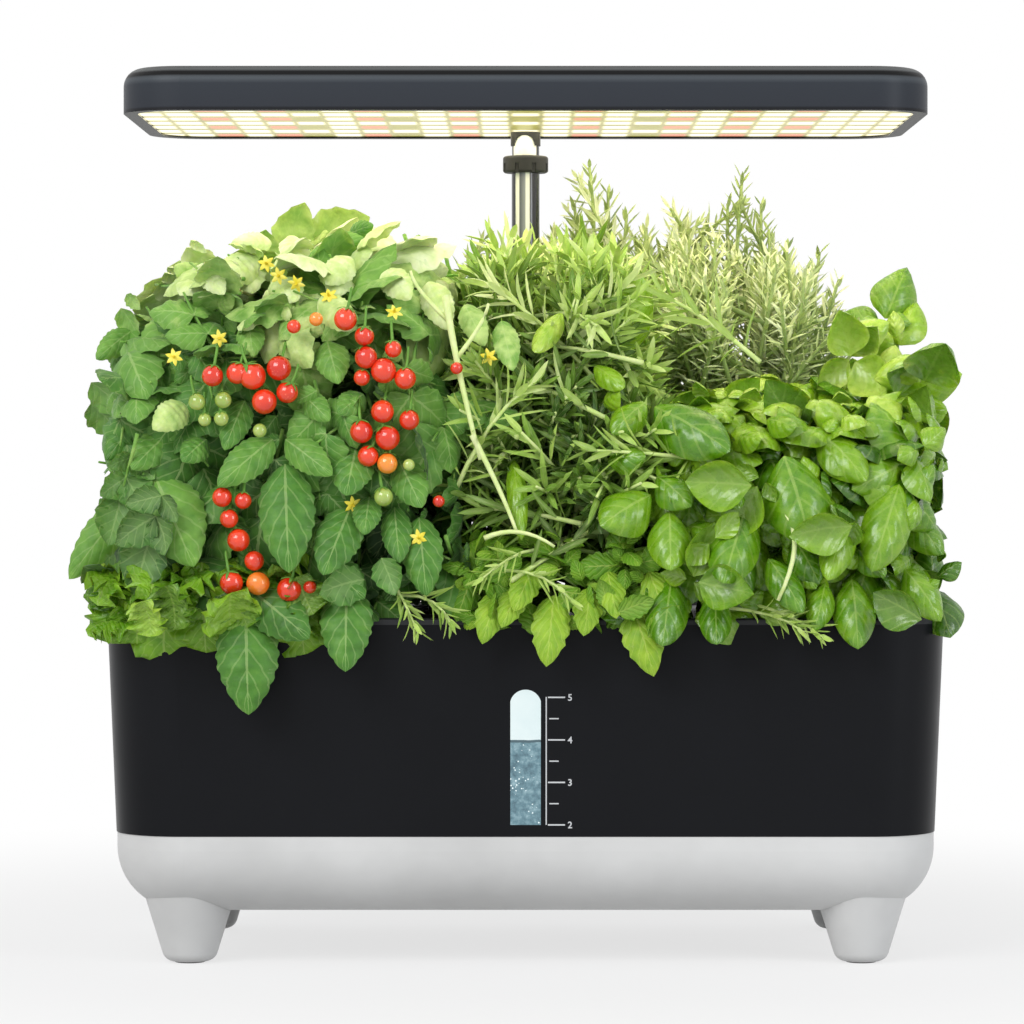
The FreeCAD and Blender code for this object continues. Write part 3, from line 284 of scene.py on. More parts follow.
def light_panel():
    """The lamp's lit underside: glowing warm white cells, some rows with red and unlit ones."""
    finish = Finish("lamp_light_panel", (198, 192, 120), 0.35)
    x, y, _ = finish.split()
    cell = within_cell(finish, x, LED_PITCH_X, LED_SIZE_X) * within_cell(finish, y, LED_PITCH_Y, LED_SIZE_Y)
    odd_row = y.worked("PINGPONG", LED_PITCH_Y) > LED_PITCH_Y / 2
    red = odd_row * column_mask(x, RED_COLUMNS)
    dark = odd_row * column_mask(x, DARK_COLUMNS)
    lit = finish.mix(dark, finish.mix(red, (252, 244, 208), (244, 150, 116)), (178, 170, 78))
    board = finish.ramp(finish.noise(40.0), [(0.3, (168, 160, 86)), (0.7, (194, 186, 114))])
    finish.colour(finish.mix(0.75, board, (0.02, 0.02, 0.015, 1.0)))
    finish.drive("Emission Color", finish.mix(cell, board, lit))
    white = cell - cell * (red + dark)
    shown = white * 0.5 + 0.8
    glow = white * 4.6 + 0.8
    camera_ray = Reading(finish, finish.node("ShaderNodeLightPath").outputs["Is Camera Ray"])
    finish.drive("Emission Strength", glow - camera_ray * (glow - shown))
    return finish.material


def gauge_front():
    """The window with the tank's pale wall behind it above the water and teal water below, glowing faintly in
    these colours: painted light that makes it look lit.
    """
    # Painted light: the window glows faintly in its own colours, though it is no lamp
    finish = Finish("gauge_window_painted_glow", (235, 248, 248), 0.12, Coat_Weight=0.5, Emission_Strength=0.22)
    _, _, z = finish.split()
    rippled = z + (finish.noise(120.0) - 0.5) * 0.0012
    murk = finish.ramp(finish.noise(260.0, 5.0, 0.7), [
        (0.3, (56, 86, 98)), (0.5, (90, 124, 135)), (0.68, (134, 163, 171))])
    bubbles = finish.node("ShaderNodeTexVoronoi", feature="F1")
    bubbles.inputs["Scale"].default_value = 520.0
    finish.feed(bubbles.inputs["Vector"], finish.place())
    spark = Reading(finish, bubbles.outputs["Distance"]) < 0.2
    murk = finish.mix(spark * (finish.noise(90.0, 2.0) > 0.52), murk, (226, 240, 240))
    murk = finish.mix(rippled.worked("COMPARE", WATER_TOP_Z - 0.0007, 0.0006), murk, (60, 84, 92))
    air = finish.ramp(finish.noise(60.0), [(0.3, (198, 213, 214)), (0.7, (208, 220, 220))])
    shown = finish.mix(rippled < WATER_TOP_Z, air, murk)
    finish.colour(shown)
    finish.drive("Emission Color", shown)
    return finish.material


def leaf_finish(name, stops, vein, veins, rough, specular=0.4, quilt=0.5, fuzz=0.0, under=None):
    """A leaf: colour by its tone, which for several plants carries painted light and shade as well as leaf
    colour, a pale midrib and side veins, quilting between them.
    """
    finish = Finish(name, stops[1][1], rough, Specular_IOR_Level=specular, Sheen_Weight=fuzz,
                    Sheen_Roughness=0.5, Subsurface_Weight=0.12, Subsurface_Scale=0.4,
                    Subsurface_Radius=(0.004, 0.006, 0.001))
    across, along, _ = finish.split(finish.node("ShaderNodeUVMap", uv_map="leaf_uv").outputs[0])
    centred = (across - 0.5).worked("ABSOLUTE")
    mottled = (finish.noise(150.0, 4.0) - 0.5) * 0.5 + finish.value("tone")
    midrib = centred < along * -0.02 + 0.032
    saw = ((centred * -0.75 + along) * veins).worked("PINGPONG", 0.5)
    veined = midrib.worked("MAXIMUM", (saw < 0.07) * 0.55)
    shown = finish.mix(veined * 0.3, finish.ramp(mottled, stops), vein)
    if under is not None:
        shown = finish.mix(finish.value("under") * 0.35, shown, under)
    finish.colour(shown)
    finish.uneven_gloss(finish.noise(300.0), rough - 0.06, rough + 0.1)
    finish.bump(saw * quilt + finish.noise(420.0) * 0.5, 0.55, 0.0009)
    return finish.material


def fruit_skin(name, low, high, patch):
    """A taut shiny fruit skin, mottled between two shades, with paler freckles."""
    finish = Finish(name, high, 0.16, Coat_Weight=0.6, Coat_Roughness=0.06, Subsurface_Weight=0.25,
                    Subsurface_Radius=(0.006, 0.002, 0.001), Subsurface_Scale=0.5)
    skin = finish.ramp(finish.noise(55.0), [(0.35, low), (0.65, high)])
    freckles = finish.noise(900.0, 1.0) > 0.72
    finish.colour(finish.mix(freckles * 0.35, skin, patch))
    return finish.material


# Mesh tools

NO_TRIANGLES = np.zeros((0, 3), int)


def build_mesh(name, points, quads, triangles=NO_TRIANGLES, uv=None, values=None, sharp=None):
    """A mesh from arrays of points and faces, smooth-shaded, with per-point values."""
    mesh = bpy.data.meshes.new(name)
    loops = np.concatenate([quads.ravel(), triangles.ravel()]).astype(np.int32)
    starts = np.concatenate([np.arange(len(quads)) * 4, len(quads) * 4 + np.arange(len(triangles)) * 3])
    mesh.vertices.add(len(points))
    mesh.vertices.foreach_set("co", points.astype(np.float32).ravel())
    mesh.loops.add(len(loops))
    mesh.loops.foreach_set("vertex_index", loops)
    mesh.polygons.add(len(starts))
    mesh.polygons.foreach_set("loop_start", starts.astype(np.int32))
    mesh.polygons.foreach_set("use_smooth", np.ones(len(starts), bool))
    mesh.update(calc_edges=True)
    if uv is not None:
        layer = mesh.uv_layers.new(name="leaf_uv")
        layer.data.foreach_set("uv", uv[loops].astype(np.float32).ravel())
    for key, array in (values or {}).items():
        attribute = mesh.attributes.new(key, "FLOAT", "POINT")
        attribute.data.foreach_set("value", array.astype(np.float32).ravel())
    if sharp is not None:
        ends = np.empty(len(mesh.edges) * 2, np.int32)
        mesh.edges.foreach_get("vertices", ends)
        mesh.edges.foreach_set("use_edge_sharp", sharp[ends.reshape(-1, 2)].all(axis=1))
    mesh.validate()
    return in_scene(name, mesh)


def in_scene(name, data):
    piece = bpy.data.objects.new(name, data)
    bpy.context.scene.collection.objects.link(piece)
    return piece


def unit(vectors):
    return vectors / np.maximum(np.linalg.norm(vectors, axis=-1, keepdims=True), 1e-9)


def square_to(axis, helper):
    """Two directions at right angles to the axis and to each other."""
    side = unit(np.cross(axis, helper))
    return side, np.cross(axis, side)


def scatter(rng, count, amount):
    return (rng.random((count, 3)) - 0.5) * 2 * amount


def ring_faces(count, rows, ring):
    """Faces of many tubes of rows x ring points, each closed by a point at either end."""
    size = rows * ring + 2
    row = np.arange(rows - 1)[:, None] * ring
    column = np.arange(ring)[None, :]
    beside = (column + 1) % ring
    quads = np.stack([1 + row + column, 1 + row + beside,
                      1 + row + ring + beside, 1 + row + ring + column], axis=-1).reshape(-1, 4)
    first = np.stack([np.zeros(ring, int), 1 + beside[0], 1 + column[0]], axis=-1)
    end = 1 + (rows - 1) * ring
    last = np.stack([np.full(ring, size - 1), end + column[0], end + beside[0]], axis=-1)
    offset = (np.arange(count) * size)[:, None, None]
    return [(faces[None] + offset).reshape(-1, faces.shape[1])
            for faces in (quads, np.concatenate([first, last]))]


class Leaves:
    """A set of leaves, each given by base, direction, facing, length, width and tone."""

    def __init__(self, base, direction, facing, length, width, tone):
        count = len(base)
        self.base = base
        self.direction = unit(direction)
        self.side = unit(np.cross(self.direction, facing))
        self.facing = np.cross(self.side, self.direction)
        self.length = np.broadcast_to(length, count).astype(float)
        self.width = np.broadcast_to(width, count).astype(float)
        self.tone = np.broadcast_to(tone, count).astype(float)

    def joined(self, *others):
        for key in list(vars(self)):
            setattr(self, key, np.concatenate([getattr(each, key) for each in (self, *others)]))
        return self

    def within_room(self):
        """Only the leaves whose tips stay inside the plants' room."""
        reach = self.direction * self.length[:, None]
        good = inside(self.base + reach) & inside(self.base + reach * 0.6)
        for key, array in list(vars(self).items()):
            setattr(self, key, array[good])
        return self


def leaf_piece(name, leaves, rng, rows=8, half_ring=4, rise=0.62, fall=0.95, bend=0.9, fold=0.12,
               teeth=0.0, tooth_depth=0.0, ruffle=0.0, ruffles=5.0, quilt=0.0, veins=6.0, thick=0.0004,
               crease=0.0):
    """Leaves as closed thin lenses on a grid of two numbers, u along the midrib and v across.

    The midrib is an arc that bends away from the facing side by the angle bend. The half width
    is u to the power rise times (1 - u) to the power fall, scaled to 1 at its widest, with
    rounded teeth. The height is -fold v^2 - crease (1 - |v|)^2, plus ruffles at the edge and
    quilting between the veins; the two faces part by the thickness."""
    count = len(leaves.base)
    u = np.linspace(0, 1, rows + 2)[1:-1]
    peak = rise / (rise + fall)
    profile = np.maximum((u / peak) ** rise * ((1 - u) / (1 - peak)) ** fall, 0.02)
    if teeth > 0:
        profile = profile * (1 + tooth_depth * (np.abs(np.sin(math.pi * teeth * u)) ** 0.7 - 0.6))
    ring = 2 * half_ring
    step = np.arange(ring)
    v = np.where(step <= half_ring, -1 + 2 * step / half_ring, 3 - 2 * step / half_ring)
    face = np.where(step % half_ring == 0, 0.0, np.where(step < half_ring, 1.0, -1.0))
    own_bend = bend * (0.6 + 0.8 * rng.random(count))[:, None]
    base, direction, facing, side = [array[:, None] for array in (
        leaves.base, leaves.direction, leaves.facing, leaves.side)]

    def along_arc(angle):
        radius = (leaves.length[:, None] / np.maximum(own_bend, 1e-6))[..., None]
        return base + direction * radius * np.sin(angle) - facing * radius * (1 - np.cos(angle))

    angle = (own_bend * u)[..., None]
    local = direction * np.sin(angle) + facing * np.cos(angle)
    width = leaves.width[:, None, None]
    across = profile[None, :, None]
    phase = rng.random(count)[:, None, None] * ABOUT_A_TURN
    wave = np.sin(ABOUT_A_TURN * ruffles * u[None, :, None] + phase + 1.3 * np.sign(v)) * np.abs(v) ** 2
    swell = np.abs(np.sin(3.14 * veins * (u[None, :, None] - 0.35 * np.abs(v)))) * (1 - v ** 4)
    dome = -fold * v ** 2 - crease * (1 - np.abs(v)) ** 2
    height = width * (across * (dome + quilt * swell) + ruffle * wave) + face * thick / 2
    grid = (along_arc(angle)[:, :, None] + side[:, :, None] * (width / 2 * across * v)[..., None]
            + local[:, :, None] * height[..., None])
    points = np.concatenate([base, grid.reshape(count, -1, 3), along_arc(own_bend[..., None])], axis=1)
    quads, triangles = ring_faces(count, rows, ring)

    def per_leaf(first, middle, last):
        return np.tile(np.concatenate([[first], middle, [last]]), count)

    uv = np.stack([per_leaf(0.5, np.tile((v + 1) / 2, rows), 0.5),
                   per_leaf(0.0, np.repeat(u, ring), 1.0)], axis=-1)
    under = per_leaf(0.0, np.tile((face < 0).astype(float), rows), 0.0)
    rim = per_leaf(True, np.tile(face == 0, rows), True)
    tone = np.repeat(leaves.tone, rows * ring + 2)
    return build_mesh(name, points.reshape(-1, 3), quads, triangles, uv,
                      {"tone": tone, "under": under}, rim)


def stem_piece(name, start, bow, end, low_r, top_r, tone, rows=5, ring=5):
    """Round stems, each a parabola from start to end pushed aside by bow, tapering to its tip."""
    count = len(start)
    t = np.linspace(0, 1, rows)[None, :, None]
    line = start[:, None] * (1 - t) + end[:, None] * t + 4 * t * (1 - t) * bow[:, None]
    along = unit(np.gradient(line, axis=1))
    helper = np.where(np.abs(along[..., 2:3]) > 0.9, np.array([1.0, 0, 0]), np.array([0, 0, 1.0]))
    side = unit(np.cross(along, helper))
    other = np.cross(side, along)
    turn = np.arange(ring)[:, None] * 2 * math.pi / ring
    low_r, top_r = [np.broadcast_to(radius, count)[:, None, None, None] for radius in (low_r, top_r)]
    radius = low_r * (1 - t[..., None]) + top_r * t[..., None]
    grid = line[:, :, None] + radius * (side[:, :, None] * np.cos(turn)
                                           + other[:, :, None] * np.sin(turn))
    points = np.concatenate([start[:, None], grid.reshape(count, -1, 3), end[:, None]], axis=1)
    quads, triangles = ring_faces(count, rows, ring)
    size = rows * ring + 2
    uv = np.tile([0.9, 0.0], (count * size, 1))
    return build_mesh(name, points.reshape(-1, 3), quads, triangles, uv,
                      {"tone": np.full(count * size, tone), "under": np.zeros(count * size)})


def crown_points(node, count, rng, lowest):
    """Points spread evenly over the faces of a plant's solid that don't look further down than
    the lowest, with the outward direction at each."""
    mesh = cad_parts[node].data
    corners = np.empty(len(mesh.vertices) * 3)
    mesh.vertices.foreach_get("co", corners)
    mesh.calc_loop_triangles()
    faces = np.empty(len(mesh.loop_triangles) * 3, np.int32)
    mesh.loop_triangles.foreach_get("vertices", faces)
    faces = corners.reshape(-1, 3)[faces.reshape(-1, 3)]
    cross = np.cross(faces[:, 1] - faces[:, 0], faces[:, 2] - faces[:, 0])
    area = np.linalg.norm(cross, axis=1) * (unit(cross)[:, 2] > lowest)
    pick = rng.choice(len(faces), count, p=area / area.sum())
    first = rng.random((count, 1))
    second = rng.random((count, 1))
    over = first + second > 1
    first, second = [np.where(over, 1 - share, share) for share in (first, second)]
    corner, next_corner, last_corner = np.moveaxis(faces[pick], 1, 0)
    spots = corner + first * (next_corner - corner) + second * (last_corner - corner)
    return spots, unit(cross[pick])


def spaced_points(node, wanted, gap, rng):
    """Places over a plant's solid that keep at least the gap between them."""
    spots, out = crown_points(node, wanted * 12, rng, -0.75)
    out[:, 2] = np.where(out[:, 2] < 0, out[:, 2] * 0.25, out[:, 2])
    out = unit(out)
    chosen = [0]
    for index in range(1, len(spots)):
        apart = np.linalg.norm(spots[chosen] - spots[index], axis=1)
        if apart.min() > gap:
            chosen.append(index)
        if len(chosen) == wanted:
            break
    return spots[chosen], out[chosen]


def named_leaves(rows, bend=0.0, upward=0.15, tone=None):
    """Leaves placed one by one, facing the front: base, tip and width in millimetres, and tone.

    The first direction leans out by half the bend, so that the bent leaf still ends at its tip."""
    rows = np.array(rows, float)
    base, tip, width = rows[:, :3] * MM, rows[:, 3:6] * MM, rows[:, 6] * MM
    tone = rows[:, 7] if tone is None else tone
    length = np.linalg.norm(tip - base, axis=1)
    facing = np.tile([0.0, -1.0, upward], (len(rows), 1))
    leaves = Leaves(base, tip - base, facing, length, width, tone)
    if bend > 0:
        leaves = Leaves(base, leaves.direction * math.cos(bend / 2) + leaves.facing * math.sin(bend / 2),
                        leaves.facing, length * (bend / 2) / math.sin(bend / 2), width, tone)
    return leaves


def dress(piece, material, nodes=(), body="deck"):
    """Give a finished piece its material, the solids it stands for and its body."""
    piece.data.materials.clear()
    piece.data.materials.append(material)
    if nodes:
        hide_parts(*nodes)
    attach(piece, body)


def grow(name, leaves, rng, material, slot, nodes=(), **shape):
    """One dressed piece of many leaves of one shape."""
    dress(leaf_piece(name, leaves, rng, **shape), material, nodes)


# Camera, light and floor

def make_camera():
    data = bpy.data.cameras.new("front_camera")
    data.lens = CAMERA_LENS
    data.shift_x = -(PHOTO_MIDDLE_X - PHOTO_SIZE / 2) / PHOTO_SIZE
    data.shift_y = -(PHOTO_SIZE / 2 - PHOTO_HORIZON_Y) / PHOTO_SIZE
    camera = in_scene("front_camera", data)
    camera.location = (0.0, CAMERA_Y, CAMERA_HEIGHT)
    camera.rotation_euler = (math.radians(90), 0.0, 0.0)
    bpy.context.scene.camera = camera


def soft_light(name, place, size, power, colour=(1.0, 1.0, 1.0)):
    data = bpy.data.lights.new(name, "AREA")
    data.shape = "RECTANGLE"
    data.size, data.size_y = size
    data.energy = power
    data.color = colour
    light = in_scene(name, data)
    light.location = place
    light.rotation_mode = "QUATERNION"
    light.rotation_quaternion = (Vector(LIGHT_AIM) - Vector(place)).to_track_quat("-Z", "Y")


def white_where_seen(tree, kind, shown, output, share=None):
    """Mix plain white into a shader on the rays of the camera, of mirrors and through glass."""
    path = tree.nodes.new("ShaderNodeLightPath")
    seen = path.outputs["Is Camera Ray"]
    steps = [("MAXIMUM", path.outputs[ray]) for ray in ("Is Glossy Ray", "Is Transmission Ray")]
    if share is not None:
        steps.append(("MULTIPLY", share))
    for operation, socket in steps:
        made = tree.nodes.new("ShaderNodeMath")
        made.operation = operation
        tree.links.new(seen, made.inputs[0])
        tree.links.new(socket, made.inputs[1])
        seen = made.outputs[0]
    white = tree.nodes.new(kind)
    white.inputs[0].default_value = WHITE
    choose = tree.nodes.new("ShaderNodeMixShader")
    for index, socket in enumerate((seen, shown, white.outputs[0])):
        tree.links.new(socket, choose.inputs[index])
    tree.links.new(choose.outputs[0], tree.nodes[output].inputs[0])


def make_world():
    """An even pale sky that lights the garden, and plain white where it is seen."""
    world = bpy.data.worlds.new("studio")
    world.use_nodes = True
    sky = world.node_tree.nodes["Background"]
    sky.inputs[0].default_value = (0.97, 0.98, 1.0, 1.0)
    sky.inputs[1].default_value = 0.62
    white_where_seen(world.node_tree, "ShaderNodeBackground", sky.outputs[0], "World Output")
    bpy.context.scene.world = world


def make_floor():
    """A wide pale floor that keeps the shadow near the object and fades to white further out."""
    corners = np.array([(-1, -1, 0), (1, -1, 0), (1, 1, 0), (-1, 1, 0)]) * FLOOR_REACH
    floor = build_mesh("studio_floor", corners, np.array([[0, 1, 2, 3]]))
    finish = Finish("floor_paper", (0.62, 0.62, 0.62, 1.0), 0.9)
    distance = finish.node("ShaderNodeVectorMath", operation="LENGTH")
    finish.feed(distance.inputs[0], finish.place())
    fade = finish.remap(distance.outputs["Value"], 0.22, 0.75, 0.72)
    white_where_seen(finish.tree, "ShaderNodeEmission", finish.shader.outputs[0], "Material Output",
                     fade.socket)
    floor.data.materials.append(finish.material)


# Casing

# Painted reflections for the tubes, as stops from one side of each tube to the other: the dark and bright
# strips that a polished tube mirrors
PAINTED_REFLECTED_WHITE = (246, 246, 248)
MAST_PAINTED_REFLECTIONS = [
    (0.0, (14, 14, 15)), (0.13, (16, 16, 17)), (0.16, PAINTED_REFLECTED_WHITE), (0.26, PAINTED_REFLECTED_WHITE), (0.29, (82, 88, 98)),
    (0.48, (148, 152, 162)), (0.51, PAINTED_REFLECTED_WHITE), (0.63, PAINTED_REFLECTED_WHITE), (0.66, (22, 22, 24)), (1.0, (34, 34, 37))]
NECK_PAINTED_REFLECTIONS = [
    (0.0, (60, 60, 62)), (0.06, (60, 60, 62)), (0.09, PAINTED_REFLECTED_WHITE), (0.86, PAINTED_REFLECTED_WHITE), (0.9, (26, 26, 28)),
    (1.0, (30, 30, 32))]
INNER_TUBE_PAINTED_REFLECTIONS = [
    (0.0, (52, 53, 56)), (0.16, (84, 86, 92)), (0.26, PAINTED_REFLECTED_WHITE), (0.36, PAINTED_REFLECTED_WHITE), (0.42, (150, 153, 160)),
    (0.58, (186, 188, 194)), (0.66, PAINTED_REFLECTED_WHITE), (0.72, PAINTED_REFLECTED_WHITE), (0.78, (92, 94, 98)), (1.0, (44, 45, 48))]
FINE_GRAIN = {"grain": 2200.0, "depth": 0.00005}

# Moulded finishes: colour, roughness, the solids that wear it and what sets it apart
MOULDED = {
    "base_satin_plastic": ((203, 203, 202), 0.45, "base_shell leg_front_left leg_front_right "
                                                  "leg_rear_left leg_rear_right", {}),
    "shell_black_plastic": ((19, 20, 23), 0.34, "outer_shell", {"grain": 900.0, "specular": 0.1}),
    "deck_black_plastic": ((40, 41, 44), 0.5, "grow_deck mast_socket", FINE_GRAIN),
    "lid_black_plastic": ((48, 49, 52), 0.45, "refill_lid", FINE_GRAIN),
    "bracket_black_plastic": ((30, 30, 32), 0.4, "lamp_bracket", {}),
    "collar_charcoal_plastic": ((54, 54, 58), 0.5, "lock_collar", {"specular": 0.2}),
    "panel_gloss_plastic": ((24, 24, 26), 0.15, "control_panel", {"specular": 0.5, "coat": 0.4}),
    "basket_black_plastic": ((36, 36, 38), 0.5, " ".join(
        "grow_basket_%02d" % (index + 1) for index in range(12)) + " button_switches dc_socket", {}),
    "pump_black_plastic": ((40, 41, 44), 0.45, "pump_body pump_cover", {}),
    "tank_milky_plastic": ((226, 236, 236), 0.3, "inner_tank", {"specular": 0.5}),
    "pad_rubber": ((46, 46, 46), 0.8, "foot_pads", {"grain": 1800.0, "depth": 0.00006}),
    "sponge_brown": ((96, 78, 58), 0.95, "grow_sponges", {"grain": 500.0, "depth": 0.0006}),
    "board_green": ((28, 92, 54), 0.4, "control_board", {}),
    "key_grey_plastic": ((150, 152, 155), 0.4, "light_button pump_button", {}),
    "hose_soft_plastic": ((196, 203, 203), 0.35, "pump_hose", {}),
    "rotor_white_plastic": ((226, 225, 220), 0.4, "pump_rotor", {}),
    "lamp_board_pale": ((206, 202, 134), 0.5, "led_board", {}),
}


def set_finish(nodes, material):
    for node in nodes.split():
        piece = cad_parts[node]
        for slot in piece.material_slots:
            slot.material = material
        if not piece.material_slots:
            piece.data.materials.append(material)


def finish_casing():
    for name, (colour, rough, nodes, extra) in MOULDED.items():
        set_finish(nodes, moulded(name, colour, rough, **extra))
    set_finish("leg_screws refill_pin lamp_screws",
               polished("screw_zinc_steel", (0.62, 0.62, 0.63, 1.0), 0.28))
    # The tubes get painted reflections as their colour
    set_finish("mast_outer_tube", painted_reflection_tube("mast_dark_painted_reflection", 0.2, MAST_PAINTED_REFLECTIONS))
    set_finish("lamp_neck", painted_reflection_tube("neck_bright_painted_reflection", 0.12, NECK_PAINTED_REFLECTIONS))
    set_finish("mast_inner_tube", painted_reflection_tube("inner_tube_painted_reflection", 0.15, INNER_TUBE_PAINTED_REFLECTIONS))
    set_finish("lamp_housing", lamp_casing())
    set_finish("lamp_diffuser", light_panel())
    set_finish("level_window", gauge_front())
    water = Finish("gauge_water_teal", (96, 132, 142), 0.1)
    water.colour(water.ramp(water.noise(200.0, 4.0), [
        (0.3, (70, 104, 116)), (0.7, (130, 164, 172))]))
    set_finish("gauge_water", water.material)
    for node, colour in (("white_leds", (255, 250, 220)), ("red_leds", (255, 120, 90))):
        cell = Finish(node + "_glow", colour, 0.3, Emission_Color=linear(colour), Emission_Strength=1.5)
        cell.bump(cell.noise(700.0), 0.2, 0.0002)
        set_finish(node, cell.material)


# Gauge beside the level window

SCALE_LOW_Z = 0.0711
SCALE_TOP_Z = 0.1337
SCALE_X = 0.0101
SCALE_STEP = (SCALE_TOP_Z - SCALE_LOW_Z) / 3
NUMBER_X = 0.0206
NUMBER_SIZE = 0.0046
PLATE_FACES = np.array([(0, 1, 2, 3), (7, 6, 5, 4), (0, 4, 5, 1), (1, 5, 6, 2), (2, 6, 7, 3), (3, 7, 4, 0)])


def front_y(z):
    """The front wall leans out a little towards the top."""
    share = (z - SHELL_LOW_Z) / (SHELL_TOP_Z - SHELL_LOW_Z)
    return SHELL_LOW_FRONT + (SHELL_TOP_FRONT - SHELL_LOW_FRONT) * share


def print_mark(low_x, high_x, low_z, high_z):
    """One printed bar on the front wall, as the eight corners of a thin plate."""
    return [(SCALE_X + x, front_y(z) + sink, z) for sink in (-0.00018, 0.0002)
            for x, z in ((low_x, low_z), (high_x, low_z), (high_x, high_z), (low_x, high_z))]


def number_mesh(text, low_z):
    """A plain number as thin raised type, laid on the front wall."""
    curve = bpy.data.curves.new("label", "FONT")
    curve.body = text
    curve.size = NUMBER_SIZE
    curve.extrude = 0.00015
    curve.offset = NUMBER_SIZE * 0.016
    curve.resolution_u = 4
    holder = in_scene("label", curve)
    bpy.context.view_layer.update()
    mesh = bpy.data.meshes.new_from_object(holder.evaluated_get(bpy.context.evaluated_depsgraph_get()))
    bpy.data.objects.remove(holder)
    flat = np.empty(len(mesh.vertices) * 3)
    mesh.vertices.foreach_get("co", flat)
    x, up, out = flat.reshape(-1, 3).T
    up = low_z + up
    placed = np.stack([NUMBER_X + x, front_y(up) - 0.00005 - out, up], axis=-1)
    mesh.vertices.foreach_set("co", placed.ravel())
    mesh.update()
    return mesh


def make_gauge_marks():
    """Scale line, litre ticks and plain numbers printed beside the level window."""
    ink = moulded("gauge_print_ink", (196, 198, 200), 0.5, specular=0.2)
    litres = [SCALE_LOW_Z + SCALE_STEP * index for index in range(4)]
    bars = [print_mark(-0.0003, 0.0003, SCALE_LOW_Z, SCALE_TOP_Z + 0.0002)]
    bars += [print_mark(0.0008, 0.0092, z - 0.00035, z + 0.00035) for z in litres]
    bars += [print_mark(0.0015, 0.0061, z + SCALE_STEP / 2 - 0.0003, z + SCALE_STEP / 2 + 0.0003)
             for z in litres[:3]]
    faces = (PLATE_FACES[None] + (np.arange(len(bars)) * 8)[:, None, None]).reshape(-1, 4)
    marks = build_mesh("gauge_scale", np.array(bars).reshape(-1, 3), faces)
    marks.data.polygons.foreach_set("use_smooth", np.zeros(len(faces), bool))
    dress(marks, ink, body="reservoir")
    for index, z in enumerate(litres):
        number = in_scene("gauge_number_%d" % (index + 1), number_mesh("%d" % (index + 2), z - 0.0016))
        dress(number, ink, body="reservoir")


# Plants

UP = np.array([0.0, 0.0, 1.0])
ABOUT_A_TURN = 6.28
ROOM_LOW = np.array([-0.219, cad_low[1] + 0.003, 0.0])
ROOM_HIGH = np.array([0.2155, cad_high[1] + 0.004, 0.409])
HANGING_LIMIT_Z = 0.17
LEFT_EDGE_Z = [0.16, 0.2, 0.225, 0.262, 0.28, 0.312, 0.33, 0.345, 0.362]
LEFT_EDGE_X = [-0.2, -0.206, -0.213, -0.213, -0.209, -0.206, -0.197, -0.182, -0.158]

# Leaf colours from the darkest tone to the palest; low tones also serve as painted shade for deeper leaves,
# and the near-white palest stops of tomato, rosemary and tarragon as painted light near the lamp
TOMATO_STOPS = [(0.0, (34, 70, 20)), (0.3, (72, 124, 40)), (0.6, (116, 164, 66)), (0.8, (196, 220, 132)),
                (1.0, (236, 244, 196))]
BASIL_STOPS = [(0.0, (34, 72, 6)), (0.35, (82, 134, 10)), (0.7, (140, 182, 34)), (1.0, (206, 226, 106))]
ROSEMARY_STOPS = [(0.0, (78, 100, 54)), (0.4, (170, 190, 124)), (0.7, (222, 234, 172)),
                  (1.0, (242, 248, 212))]
TARRAGON_STOPS = [(0.0, (56, 90, 24)), (0.4, (126, 166, 60)), (0.7, (184, 214, 104)),
                  (1.0, (230, 240, 176))]
LETTUCE_STOPS = [(0.0, (44, 86, 8)), (0.4, (90, 142, 18)), (0.7, (136, 182, 38)), (1.0, (194, 220, 92))]
MINT_STOPS = [(0.0, (48, 90, 14)), (0.4, (98, 148, 30)), (0.7, (156, 192, 54)), (1.0, (218, 226, 96))]
PETAL_STOPS = [(0.0, (222, 190, 30)), (0.5, (240, 222, 60)), (0.7, (246, 232, 90)), (1.0, (250, 242, 140))]


def inside(points):
    """Which points stay inside the room that the plants have in the photograph."""
    left = np.interp(points[:, 2], LEFT_EDGE_Z, LEFT_EDGE_X)
    good = ((points > ROOM_LOW) & (points < ROOM_HIGH)).all(axis=1)
    return good & (points[:, 2] > HANGING_LIMIT_Z) & (points[:, 0] > left)


def rosettes(rng, heart, axis, pairs, length, share, tone):
    """Shoots of opposite leaves: each pair is its size, its lift, its turn and how deep it sits."""
    count = len(heart)
    helper, other = square_to(axis, (0.23, 0.31, 0.92))
    start_turn = rng.random(count)[:, None] * ABOUT_A_TURN
    sets = []
    for size, lift, turn, sink in pairs:
        for side in (0.0, math.pi):
            angle = start_turn + turn + side + (rng.random((count, 1)) - 0.5) * 0.7
            radial = helper * np.cos(angle) + other * np.sin(angle)
            tilt = lift + (rng.random((count, 1)) - 0.5) * 0.5
            aim = radial * np.cos(tilt) + axis * np.sin(tilt)
            facing = axis * np.cos(tilt) - radial * np.sin(tilt) + scatter(rng, count, 0.22)
            own = length * size * (0.78 + 0.44 * rng.random(count))
            tones = tone + 0.16 * (rng.random(count) - 0.5) + 0.12 * (1 - size)
            sets.append(Leaves(heart - axis * sink + radial * 0.002, aim, facing, own,
                               own * share * (0.9 + 0.2 * rng.random(count)), tones))
    return sets[0].joined(*sets[1:])


def star(rng, heart, axis, helper, count, wobble, lean, sizes, tone):
    """Pointed petals or sepals set evenly round an axis."""
    helper, other = square_to(axis, helper)
    sets = []
    for step in range(count):
        angle = step * 2 * math.pi / count
        if wobble:
            angle = angle + rng.random(len(heart))[:, None] * wobble
        radial = helper * np.cos(angle) + other * np.sin(angle)
        tones = tone[0] + tone[1] * rng.random(len(heart))
        sets.append(Leaves(heart, radial + axis * lean, axis, *sizes, tones))
    return sets[0].joined(*sets[1:])
